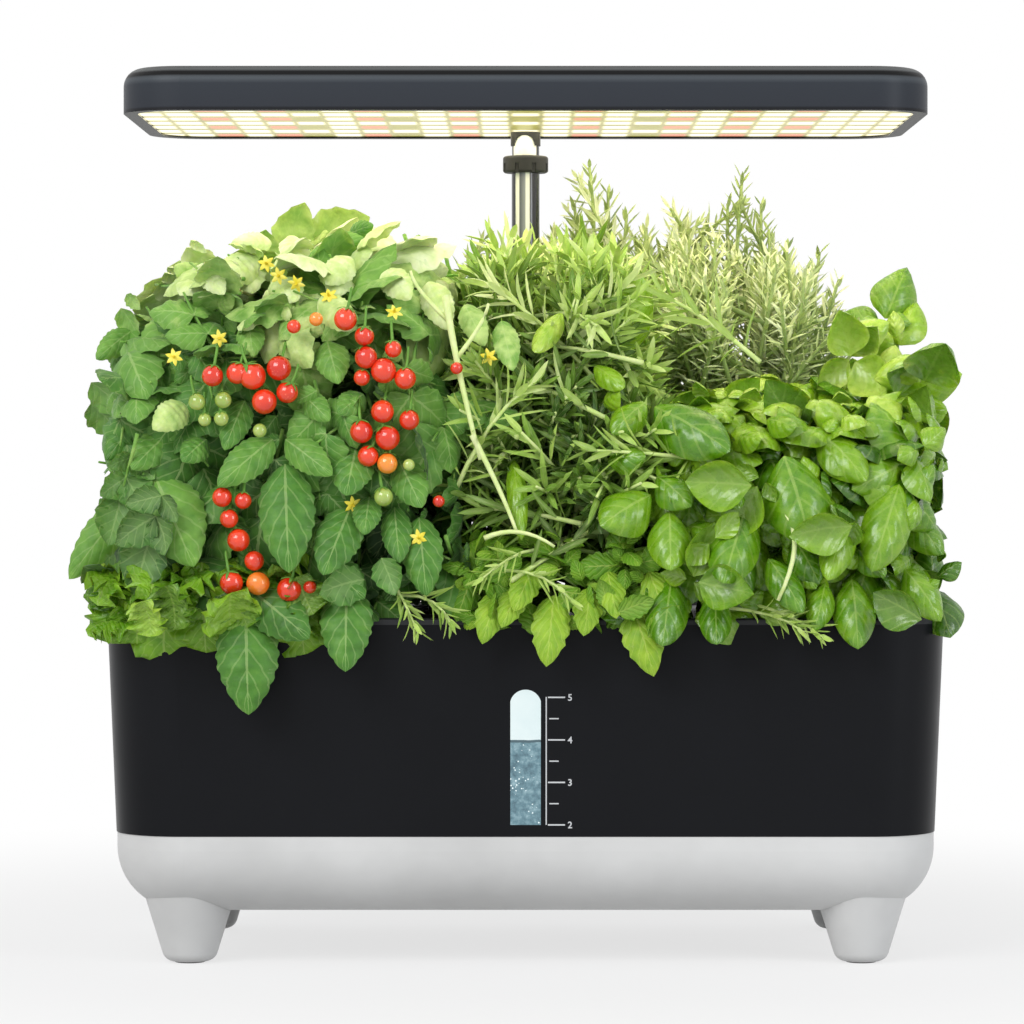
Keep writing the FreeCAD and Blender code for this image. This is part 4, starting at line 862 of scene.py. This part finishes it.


# Leaves that can be told apart in the photograph: base, tip, width and tone
# Their tones carry painted light and shade as well as leaf colour: the higher leaves, nearer the lamp, are
# paler
NAMED_TOMATO = [
    (-181, -108, 242, -161, -128, 199, 32, 0.5), (-194, -84, 231, -225, -92, 191, 20, 0.5),
    (-117, -118, 248, -114, -134, 195, 27, 0.3), (-123, -116, 260, -149, -130, 237, 18, 0.42),
    (-117, -116, 260, -93, -130, 242, 16, 0.46), (-82, -114, 258, -87, -130, 231, 21, 0.34),
    (-85, -116, 227, -98, -132, 193, 22, 0.28), (-76, -116, 232, -78, -130, 214, 14, 0.36),
    (-175, -100, 263, -192, -116, 245, 17, 0.42), (-97, -108, 308, -91, -124, 288, 17, 0.52),
    (-157, -66, 335, -174, -80, 346, 15, 0.78), (-134, -66, 351, -152, -84, 336, 18, 0.86),
    (-127, -60, 358, -145, -76, 358, 11, 0.92), (-117, -60, 362, -117, -76, 349, 12, 0.92),
    (-174, -78, 322, -187, -96, 293, 21, 0.56), (-195, -66, 315, -213, -80, 299, 14, 0.46),
    (-205, -66, 302, -198, -78, 289, 9, 0.4), (-102, -50, 357, -81, -66, 360, 12, 0.5),
    (-89, -46, 363, -76, -60, 367, 10, 0.36), (-165, -110, 277, -180, -126, 266, 16, 0.74),
    (-161, -106, 201, -141, -122, 173, 26, 0.14), (-178, -92, 292, -188, -108, 275, 13, 0.4),
    (-191, -84, 270, -206, -98, 250, 15, 0.3), (-136, -98, 318, -133, -112, 301, 14, 0.62),
    (-130, -90, 329, -107, -108, 320, 12, 0.74), (-154, -84, 325, -141, -98, 331, 12, 0.66),
    (-109, -112, 282, -95, -126, 269, 13, 0.4), (-79, -112, 282, -91, -126, 272, 14, 0.4),
    (-137, -110, 279, -146, -124, 255, 15, 0.34), (-156, -108, 260, -167, -120, 249, 14, 0.38),
    (-64, -112, 227, -61, -124, 199, 15, 0.3), (-98, -112, 199, -78, -126, 183, 20, 0.26),
    (-136, -116, 178, -134, -132, 127, 30, 0.3), (-87, -116, 190, -87, -130, 147, 25, 0.32),
    (-52, -112, 222, -48, -126, 184, 20, 0.32), (-62, -112, 250, -50, -126, 226, 18, 0.4),
    (-118, -112, 236, -104, -126, 214, 17, 0.26), (-100, -108, 330, -84, -122, 312, 16, 0.78),
    (-70, -90, 344, -56, -106, 328, 15, 0.84), (-48, -84, 338, -38, -100, 314, 16, 0.84),
    (-86, -84, 350, -98, -100, 336, 15, 0.86), (-120, -88, 340, -112, -104, 326, 15, 0.84),
    (-12, -104, 318, -6, -120, 292, 13, 0.66), (-30, -100, 326, -20, -116, 306, 13, 0.7),
    (-134, -116, 187, -104, -131, 163, 24, 0.24), (-160, -92, 346, -148, -108, 332, 13, 0.86),
]

# Leaflets of a tomato leaf: place along its stalk, turn and length
LEAFLETS = [(0.96, 0.0, 0.86), (0.66, 0.8, 0.66), (0.66, -0.8, 0.66), (0.34, 1.05, 0.5),
            (0.34, -1.05, 0.5), (0.12, 1.3, 0.26)]


def make_tomato():
    """Cherry tomato: feathered leaves of softly toothed, hanging leaflets over the whole crown."""
    rng = np.random.default_rng(11)
    green = leaf_finish("tomato_leaf_green", TOMATO_STOPS, (190, 212, 140), 5.0, 0.5, 0.3, fuzz=0.12,
                        under=(148, 182, 112))
    for index, (count, gap, sink) in enumerate(((210, 0.0135, 0.0), (170, 0.013, 0.02))):
        spots, out = spaced_points("tomato_plant", count, gap, rng)
        count = len(spots)
        high = np.clip((spots[:, 2] - 0.2) / 0.17, 0, 1)[:, None]
        hang = unit(out * 0.5 + UP * (-0.8 + 0.9 * high) + scatter(rng, count, 0.5))
        facing = unit(out + UP * 0.6 + scatter(rng, count, 0.3))
        side = unit(np.cross(hang, facing))
        facing = np.cross(side, hang)
        reach = (0.03 + 0.017 * rng.random(count))[:, None]
        away = (hang * out).sum(axis=1, keepdims=True)
        root = spots - hang * reach * 0.9 - out * np.maximum(-0.004, away * reach * 0.6 - 0.012) - out * sink
        leaflets = [(root + hang * reach * share - facing * reach * 0.15 * share ** 2,
                     hang * math.cos(turn) + side * math.sin(turn) - facing * 0.12,
                     reach[:, 0] * length * (0.9 + 0.3 * rng.random(count)))
                    for share, turn, length in LEAFLETS]
        base, aim, size = [np.concatenate(parts) for parts in zip(*leaflets)]
        face = np.tile(facing, (len(LEAFLETS), 1)) + scatter(rng, len(base), 0.3)
        # Painted light and shade in the tone: leaflets get paler towards the top of the crown, near the lamp,
        # and the deeper second layer is darker; the rest varies at random
        height = np.clip((base[:, 2] - 0.25) / 0.1, 0, 1)
        tone = np.tile(0.1 + 0.3 * rng.random(count), len(LEAFLETS)) + 0.62 * height ** 1.2
        leaves = Leaves(base, aim, face, size, size * 0.72, tone - 0.18 * index)
        grow("tomato_leaves_%d" % (index + 1), leaves.within_room(), rng, green, "tomato_leaf",
             ["tomato_plant"], rows=12, half_ring=3, rise=0.5, fall=0.8, bend=0.85, fold=0.2, teeth=4.0,
             tooth_depth=0.26, ruffle=0.04, ruffles=3.0, quilt=0.03, veins=5.0)
        end = root + hang * reach
        kept = inside(end) & inside(root)
        dress(stem_piece("tomato_stalks_%d" % (index + 1), (root - out * 0.01)[kept],
                         facing[kept] * -0.002, end[kept], 0.0011, 0.0006, 0.6), green)
    grow("tomato_front_leaves", named_leaves(NAMED_TOMATO, 0.8), rng, green, "tomato_leaf",
         ["tomato_plant"], rows=30, half_ring=5, rise=0.5, fall=0.72, bend=0.8, fold=0.2, crease=0.06,
         teeth=8.0, tooth_depth=0.14, ruffle=0.03, ruffles=3.0, quilt=0.04, veins=7.0)


# Tones as for the tomato: painted light and shade as well as leaf colour, paler for the higher leaves
NAMED_BASIL_FRONT = [
    (126, -114, 252, 138, -132, 209, 34, 0.42), (107, -118, 226, 95, -134, 188, 25, 0.4),
    (70, -118, 225, 70, -132, 196, 22, 0.5), (61, -116, 233, 36, -130, 218, 26, 0.5),
    (63, -106, 276, 99, -126, 253, 28, 0.34), (183, -104, 238, 168, -124, 196, 24, 0.52),
    (157, -114, 224, 146, -130, 191, 17, 0.58), (144, -100, 264, 166, -118, 240, 22, 0.54),
    (92, -114, 245, 104, -128, 226, 17, 0.46), (64, -114, 242, 80, -128, 228, 19, 0.4),
    (71, -116, 192, 66, -132, 159, 21, 0.32), (92, -118, 186, 92, -132, 159, 16, 0.26),
    (118, -118, 202, 134, -132, 176, 16, 0.36), (159, -112, 192, 161, -130, 159, 21, 0.42),
    (146, -116, 190, 140, -130, 168, 14, 0.46), (164, -84, 267, 141, -100, 275, 20, 0.72),
    (170, -80, 281, 183, -96, 268, 22, 0.78), (119, -96, 270, 133, -112, 263, 14, 0.5),
    (38, -96, 278, 47, -110, 283, 14, 0.66), (59, -104, 278, 42, -120, 264, 16, 0.5),
    (40, -110, 249, 57, -124, 253, 15, 0.44), (104, -104, 261, 116, -118, 258, 14, 0.56),
    (161, -108, 207, 175, -122, 195, 14, 0.4), (131, -112, 211, 143, -122, 190, 18, 0.28),
    (178, -96, 193, 170, -116, 173, 20, 0.4), (102, -110, 212, 109, -120, 184, 14, 0.34),
    (186, -100, 196, 204, -112, 172, 18, 0.5), (186, -84, 224, 206, -96, 204, 18, 0.44),
]
NAMED_BASIL_RIGHT = [
    (178, -30, 284, 221, -36, 291, 26, 0.66), (160, -2, 306, 186, -10, 321, 19, 0.8),
    (184, -40, 262, 213, -52, 246, 22, 0.5), (176, 18, 262, 208, 34, 240, 28, 0.5),
    (180, -44, 276, 212, -56, 272, 22, 0.62), (176, -40, 290, 202, -50, 300, 18, 0.78),
]
NAMED_TARRAGON = [
    (46, -62, 300, 58, -74, 342, 22, 0.74), (-6, -100, 250, -2, -124, 212, 10, 0.6),
    (34, -96, 296, 48, -112, 284, 12, 0.62), (18, -96, 322, 4, -112, 300, 12, 0.8),
]


def make_basils():
    """Basil: shoots of paired, glossy, domed leaves whose tips droop."""
    rng = np.random.default_rng(23)
    green = leaf_finish("basil_leaf_green", BASIL_STOPS, (190, 214, 120), 4.0, 0.26, 0.6, quilt=1.0,
                        under=(140, 170, 84))
    pairs = ((1.0, 0.1, 0.0, 0.012), (0.8, 0.35, 1.57, 0.006), (0.42, 0.75, 0.3, 0.0))
    for node, name, count, rows in (("basil_front_plant", "basil_front", 62, NAMED_BASIL_FRONT),
                                    ("basil_right_plant", "basil_right", 56, NAMED_BASIL_RIGHT)):
        layers = []
        for layer, sink in enumerate((0.006, 0.022)):
            spots, out = spaced_points(node, count, 0.015, rng)
            axis = unit(out + UP * 0.35 + scatter(rng, len(spots), 0.25))
            # Painted shade: the deeper layer gets a darker tone
            layers.append(rosettes(rng, spots - out * sink, axis, pairs, 0.037, 0.7, 0.46 - 0.3 * layer))
        leaves = layers[0].joined(layers[1])
        # Painted light: leaves higher up, near the lamp, get paler
        leaves.tone += 0.32 * np.clip((leaves.base[:, 2] - 0.252) / 0.035, 0, 1)
        grow(name + "_leaves", leaves.within_room(), rng, green, "basil_leaf", [node], rows=9, half_ring=5,
             rise=0.5, fall=0.66, bend=1.2, fold=0.4, crease=0.1, quilt=0.04, veins=4.0, ruffle=0.012,
             ruffles=2.0, thick=0.0006)
        broad_leaves(name + "_near_leaves", rows, rng, green, node)
    broad_leaves("tarragon_broad_leaves", NAMED_TARRAGON, rng, green, "tarragon_plant")


def broad_leaves(name, rows, rng, green, node):
    """Basil leaves placed one by one, on a finer grid."""
    grow(name, named_leaves(rows, 1.0, 0.4), rng, green, "basil_leaf", [node], rows=22, half_ring=8,
         rise=0.5, fall=0.58, bend=1.0, fold=0.4, crease=0.1, quilt=0.04, veins=4.0, ruffle=0.015,
         ruffles=2.0, thick=0.0006)


NAMED_LETTUCE = [
    (-176, -108, 196, -177, -128, 149, 32), (-194, -96, 194, -203, -116, 164, 30),
    (-112, -108, 192, -108, -126, 156, 26), (-188, -104, 200, -190, -120, 162, 30),
    (-158, -110, 200, -156, -128, 158, 32),
]


def make_lettuce():
    """Loose-leaf lettuce: short broad leaves with tightly frilled edges."""
    rng = np.random.default_rng(31)
    green = leaf_finish("lettuce_leaf_green", LETTUCE_STOPS, (190, 214, 120), 9.0, 0.4, quilt=1.2,
                        under=(150, 184, 84))
    spots, out = crown_points("lettuce_plant", 230, rng, -0.5)
    count = len(spots)
    aim = unit(out * 0.8 + UP * 0.15 + scatter(rng, count, 0.6))
    facing = unit(out * 0.3 + UP * 0.9 + scatter(rng, count, 0.4))
    length = 0.019 + 0.01 * rng.random(count)
    base = spots - aim * length[:, None] * 0.95 - out * 0.003
    leaves = Leaves(base, aim, facing, length, length * 0.95, 0.2 + 0.6 * rng.random(count))
    leaves = leaves.within_room().joined(named_leaves(NAMED_LETTUCE, tone=0.5))
    grow("lettuce_leaves", leaves, rng, green, "lettuce_leaf", ["lettuce_plant"], rows=20, half_ring=8,
         rise=0.4, fall=0.25, bend=0.8, fold=0.1, ruffle=0.17, ruffles=4.0, quilt=0.06, veins=5.0,
         teeth=6.0, tooth_depth=0.3)


NAMED_MINT = [
    (52, -112, 180, 62, -130, 146, 19), (14, -112, 184, 10, -129, 150, 18),
    (-14, -112, 186, -21, -127, 161, 14), (32, -112, 188, 28, -126, 164, 14),
    (60, -112, 196, 70, -126, 168, 15), (4, -112, 198, -6, -126, 176, 14),
    (-2, -112, 190, -12, -126, 168, 13), (40, -112, 196, 44, -126, 172, 13),
]


def make_mint():
    """Mint: small toothed leaves in pairs round short shoots."""
    rng = np.random.default_rng(41)
    green = leaf_finish("mint_leaf_green", MINT_STOPS, (206, 218, 116), 6.0, 0.5, 0.3, quilt=1.4,
                        under=(150, 178, 84))
    pairs = ((1.0, 0.1, 0.0, 0.008), (0.85, 0.4, 1.57, 0.003), (0.5, 0.8, 0.3, 0.0))
    spots, out = spaced_points("mint_plant", 70, 0.009, rng)
    axis = unit(out + UP * 0.3 + scatter(rng, len(spots), 0.3))
    leaves = rosettes(rng, spots - out * 0.004, axis, pairs, 0.022, 0.58, 0.38)
    leaves = leaves.within_room().joined(named_leaves(NAMED_MINT, 0.8, tone=0.58))
    grow("mint_leaves", leaves, rng, green, "mint_leaf", ["mint_plant"], rows=12, half_ring=3, rise=0.6,
         fall=0.8, bend=0.8, fold=0.15, teeth=5.0, tooth_depth=0.3, quilt=0.05, veins=5.0)


def needled(rng, start, end, bow, per, low, length, width, angle, tone):
    """Needles set in a spiral along curved twigs, each leaning forward by the angle."""
    count = len(start)
    t = (low + (1 - low) * (np.arange(per) + 0.5) / per)[None, :, None]
    spot = start[:, None] * (1 - t) + end[:, None] * t + 4 * t * (1 - t) * bow[:, None]
    along = unit(end[:, None] - start[:, None] + 4 * (1 - 2 * t) * bow[:, None])
    helper, other = square_to(along, (0.31, 0.87, 0.38))
    turn = (np.arange(per) * 2.4)[None, :, None] + rng.random(count)[:, None, None] * ABOUT_A_TURN
    spread = helper * np.cos(turn) + other * np.sin(turn)
    tilt = angle * (1.15 - 0.7 * t)
    aim = along * np.cos(tilt) + spread * np.sin(tilt)
    size = length * (0.75 + 0.5 * rng.random((count, per, 1))) * (1.1 - 0.55 * t ** 3)
    tones = np.reshape(tone, (-1, 1, 1)) + 0.3 * (rng.random((count, per, 1)) - 0.5)
    facing = (along + spread * -0.2).reshape(-1, 3)
    return Leaves(spot.reshape(-1, 3), aim.reshape(-1, 3), facing, size.ravel(), width, tones.ravel())


def twigs_over(node, rng, count, gap, lean, length, sink, past, back):
    """Twigs whose tips end just past a plant's solid, every second one deeper by the sink.

    The lean is the share of outward, of up and of chance in the direction; the length is its
    least and how far it varies; past is how far the tip goes on along the twig and outwards."""
    spots, out = spaced_points(node, count, gap, rng)
    count = len(spots)
    aim = unit(out * lean[0] + UP * lean[1] + scatter(rng, count, lean[2]))
    reach = (length[0] + length[1] * rng.random(count))[:, None]
    deeper = (np.arange(count) % 2 * sink)[:, None]
    end = spots + aim * past[0] + out * past[1] - out * deeper
    return end - aim * reach - out * back, end, out, deeper[:, 0]


ROSEMARY_TIPS = [
    (34, 76, 405), (116, 82, 402), (83, 82, 376), (157, 80, 360), (54, 76, 380), (16, 90, 372),
    (140, 90, 364), (44, 84, 392), (108, 84, 386), (126, 84, 386), (26, 80, 386), (66, 80, 368),
    (98, 88, 372), (150, 84, 350), (4, 92, 360), (72, 84, 362), (130, 82, 372), (166, 86, 330),
    (-20, 104, 362), (90, 80, 362), (60, 84, 366), (118, 84, 366),
]


def make_rosemary():
    """Rosemary: woody upright twigs, each thick with narrow needles."""
    rng = np.random.default_rng(53)
    green = leaf_finish("rosemary_needle_green", ROSEMARY_STOPS, (170, 184, 144), 3.0, 0.5, 0.3,
                        quilt=0.1, under=(176, 190, 150))
    start, end, _, deeper = twigs_over("rosemary_plant", rng, 330, 0.006, (0.55, 0.75, 0.4),
                                       (0.045, 0.025), 0.012, (0.01, 0.003), 0.02)
    tips = np.array(ROSEMARY_TIPS, float) * MM
    start = np.concatenate([start, tips * np.array([0.97, 1.0, 1.0]) - UP * 0.085])
    end = np.concatenate([end, tips])
    kept = inside(end) & inside(start)
    kept[-len(tips):] = True
    start, end = start[kept], end[kept]
    deeper = np.concatenate([deeper, np.zeros(len(tips))])[kept]
    bow = scatter(rng, len(start), 0.003)
    # Painted light and shade in the tone: twigs that end higher, near the lamp, are paler and every deeper
    # twig is darker; the rest varies at random
    tone = 0.34 + 0.4 * rng.random(len(start)) + 0.3 * np.clip((end[:, 2] - 0.28) / 0.07, 0, 1)
    tone = tone - 0.25 * (deeper > 0)
    tone[-len(tips):] = 0.4
    needles = needled(rng, start, end, bow, 38, 0.08, 0.0145, 0.0021, 0.95, tone)
    grow("rosemary_needles", needles, rng, green, "rosemary_leaf", ["rosemary_plant"], rows=2, half_ring=2,
         rise=0.2, fall=0.35, bend=0.35, fold=0.2)
    twigs = stem_piece("rosemary_twigs", start, bow, end, 0.0016, 0.0008, 0.35)
    dress(twigs, green, ["rosemary_plant"])


def make_tarragon():
    """The narrow-leaved herb in the middle: arching pale stems with long soft blades."""
    rng = np.random.default_rng(67)
    green = leaf_finish("tarragon_blade_green", TARRAGON_STOPS, (214, 226, 164), 2.0, 0.45, 0.35,
                        quilt=0.1, under=(190, 208, 140))
    start, end, out, deeper = twigs_over("tarragon_plant", rng, 210, 0.007, (0.6, 0.5, 0.65),
                                         (0.05, 0.03), 0.014, (0.008, 0.002), 0.022)
    bow = out * 0.004 + UP * 0.004 + scatter(rng, len(out), 0.004)
    kept = inside(end)
    start, end, bow, deeper = start[kept], end[kept], bow[kept], deeper[kept]
    # Painted light and shade in the tone: stems that end higher, near the lamp, are paler and every deeper
    # stem is darker; the rest varies at random
    tone = 0.2 + 0.42 * rng.random(len(end)) + 0.36 * np.clip((end[:, 2] - 0.27) / 0.08, 0, 1)
    tone = tone - 0.34 * (deeper > 0)
    blades = needled(rng, start, end, bow, 26, 0.1, 0.024, 0.0034, 0.8, tone)
    grow("tarragon_blades", blades.within_room(), rng, green, "tarragon_leaf", ["tarragon_plant"], rows=4,
         half_ring=2, rise=0.4, fall=0.6, bend=0.5, fold=0.15)
    twigs = stem_piece("tarragon_stems", start, bow, end, 0.0014, 0.0007, 0.85)
    dress(twigs, green, ["tarragon_plant"])


# Stems placed one by one: start, bow and end, and for the bare twigs the radius
PALE_TWIGS = [
    (-39, -118, 330, -2, 0, 4, -22, -122, 250, 1.9), (-26, -121, 262, 2, 0, -2, -4, -124, 214, 1.5),
    (-38, -118, 318, -4, 0, 2, -56, -116, 342, 1.2), (-33, -119, 300, 3, 0, 2, -18, -120, 326, 1.2),
    (-20, -124, 212, 0, 0, 5, 14, -128, 208, 1.3), (126, -126, 224, 6, -2, 4, 122, -130, 182, 1.6),
]
FRONT_SPRIGS = [
    (-60, -112, 184, 3, -1, 4, -36, -129, 170), (-66, -112, 192, 0, -2, 2, -52, -128, 166),
    (96, -112, 178, 4, -1, 2, 134, -129, 167), (-10, -114, 196, 2, -2, 4, 22, -130, 182),
    (4, -114, 206, 2, -2, 4, -24, -129, 190), (110, -112, 180, 3, -1, 1, 144, -128, 164),
]


def make_pale_twigs():
    """Bare pale stems and small sprigs that show between the leaves at the front."""
    bark = leaf_finish("twig_pale_green", TARRAGON_STOPS, (232, 238, 190), 1.0, 0.5, quilt=0.0)
    start, bow, end, radius = np.split(np.array(PALE_TWIGS) * MM, [3, 6, 9], axis=1)
    twigs = stem_piece("pale_twigs", start, bow, end, radius[:, 0], radius[:, 0] * 0.55, 0.92, rows=9,
                       ring=8)
    dress(twigs, bark)
    rng = np.random.default_rng(77)
    start, bow, end = np.split(np.array(FRONT_SPRIGS) * MM, 3, axis=1)
    blades = needled(rng, start, end, bow, 16, 0.25, 0.014, 0.0022, 0.75, np.full(len(start), 0.62))
    grow("front_sprig_needles", blades, rng, bark, "tarragon_leaf", rows=4, half_ring=2, rise=0.3, fall=0.5,
         bend=0.4, fold=0.15)
    sprigs = stem_piece("front_sprig_stems", start, bow, end, 0.0009, 0.0005, 0.85)
    dress(sprigs, bark)


FLOWERS = [
    (-127, -104, 346), (-121, -104, 340), (-149, -118, 309), (-171, -118, 300), (-52, -120, 212),
    (-96, -112, 330), (-64, -112, 322), (-112, -108, 336), (-18, -116, 300), (-84, -118, 228),
]


def make_flowers():
    """Small yellow star flowers of six pointed petals round a raised centre."""
    rng = np.random.default_rng(83)
    yellow = leaf_finish("petal_yellow", PETAL_STOPS, (232, 200, 40), 2.0, 0.5, quilt=0.0)
    heart = np.array(FLOWERS, float) * MM
    axis = unit(np.tile([0.0, -1.0, 0.1], (len(heart), 1)) + scatter(rng, len(heart), 0.5))
    petals = star(rng, heart, axis, (0.3, 0.2, 0.9), 6, 0.0, 0.25, (0.0047, 0.0022), (0.5, 0.3))
    grow("yellow_flowers", petals, rng, yellow, "tomato_leaf", rows=6, half_ring=2, rise=0.6, fall=0.9,
         bend=0.6, fold=0.15)
    hearts = stem_piece("flower_centres", heart - axis * 0.001, axis * 0.0, heart + axis * 0.0035,
                        0.0009, 0.0004, 0.2, rows=4, ring=6)
    dress(hearts, yellow)


def make_main_stems():
    """The stems that rise out of the sponges and carry each plant, three from each basket."""
    rng = np.random.default_rng(71)
    feet = np.array([(x, y, SPONGE_TOP_Z) for y in BASKET_YS for x in BASKET_XS for stem in range(3)])
    level = np.array([1, 1, 0])
    start = feet + scatter(rng, len(feet), 0.003) * level
    lean = scatter(rng, len(feet), 0.016) * level
    bark = leaf_finish("stem_green", TOMATO_STOPS, (150, 180, 110), 1.0, 0.6, quilt=0.0)
    stems = stem_piece("main_stems", start, lean * 0.2, start + lean + UP * 0.075, 0.0024, 0.0018, 0.4,
                       rows=6, ring=8)
    dress(stems, bark)


# Fruit as x, z and radius in millimetres, where the solids have them
FRUIT_Y = -124.0
FRUIT = [
    (-151.8, 290.7, 5.2), (-139.9, 292.0, 5.3), (-132.4, 290.6, 6.6), (-119.6, 294.4, 6.0),
    (-126.7, 278.2, 6.1), (-115.6, 282.7, 5.3), (-87.4, 318.2, 5.6), (-78.2, 310.0, 4.8), (-77.4, 299.6, 5.5),
    (-64.2, 303.6, 4.1), (-79.4, 289.8, 4.0), (-68.9, 293.2, 6.2), (-58.4, 289.4, 5.3), (-69.4, 273.4, 5.6),
    (-56.4, 269.3, 4.9), (-79.6, 263.6, 5.6), (-66.9, 260.6, 6.0), (-76.4, 251.8, 5.1), (-147.2, 231.8, 4.8),
    (-137.0, 230.2, 4.1), (-143.8, 221.4, 4.5), (-139.2, 211.0, 5.5), (-131.6, 201.0, 4.8),
    (-142.6, 190.2, 5.7), (-114.6, 187.1, 6.0), (-129.8, 190.0, 5.7), (-67.1, 248.2, 5.0),
    (-159.4, 278.1, 4.1), (-146.7, 279.0, 4.1), (-155.6, 269.4, 3.2), (-147.6, 270.0, 3.6),
    (-68.9, 232.0, 4.6),
]


def make_calyxes():
    """A green five-pointed star and a bent stalk on top of each fruit."""
    rng = np.random.default_rng(97)
    green = leaf_finish("calyx_green", TOMATO_STOPS, (150, 186, 104), 2.0, 0.55, quilt=0.0)
    x, z, radius = np.array(FRUIT).T * MM
    middle = np.stack([x, np.full(len(x), FRUIT_Y * MM), z], axis=-1)
    axis = unit(np.tile([0.0, 0.1, 1.0], (len(x), 1)) + scatter(rng, len(x), 0.45))
    crest = middle + axis * (radius[:, None] + 0.0002)
    sepals = star(rng, crest, axis, (0.2, 0.9, 0.1), 5, 0.5, 0.05, (radius * 1.05, radius * 0.3),
                  (0.35, 0.2))
    grow("fruit_calyxes", sepals, rng, green, "tomato_leaf", rows=5, half_ring=2, rise=0.4, fall=0.9,
         bend=0.8, fold=0.1)
    stalks = stem_piece("fruit_stalks", crest - axis * 0.0006, axis * 0.003 + np.array([0, 0.002, 0]),
                        crest + axis * 0.006 + np.array([0.0, 0.007, 0.004]), 0.0008, 0.0006, 0.5, rows=7,
                        ring=6)
    dress(stalks, green)


def finish_fruit():
    for node, name, *colours in (
            ("red_fruit", "ripe_fruit_skin", (212, 38, 12), (238, 68, 28), (246, 130, 84)),
            ("orange_fruit", "turning_fruit_skin", (236, 104, 22), (248, 150, 52), (252, 190, 110)),
            ("green_fruit", "green_fruit_skin", (140, 168, 62), (186, 206, 112), (214, 226, 160))):
        set_finish(node, fruit_skin(name, *colours))


make_camera()
make_world()
make_floor()
soft_light("key_softbox", (-1.3, -1.9, 1.7), (1.6, 1.2), 42.0)
soft_light("fill_softbox", (1.7, -1.4, 0.9), (0.5, 1.4), 16.0, (0.93, 0.96, 1.0))
finish_casing()
make_gauge_marks()
make_tomato()
make_basils()
make_lettuce()
make_mint()
make_rosemary()
make_tarragon()
make_main_stems()
make_pale_twigs()
make_flowers()
make_calyxes()
finish_fruit()

bpy.context.scene.view_settings.view_transform = "Standard"
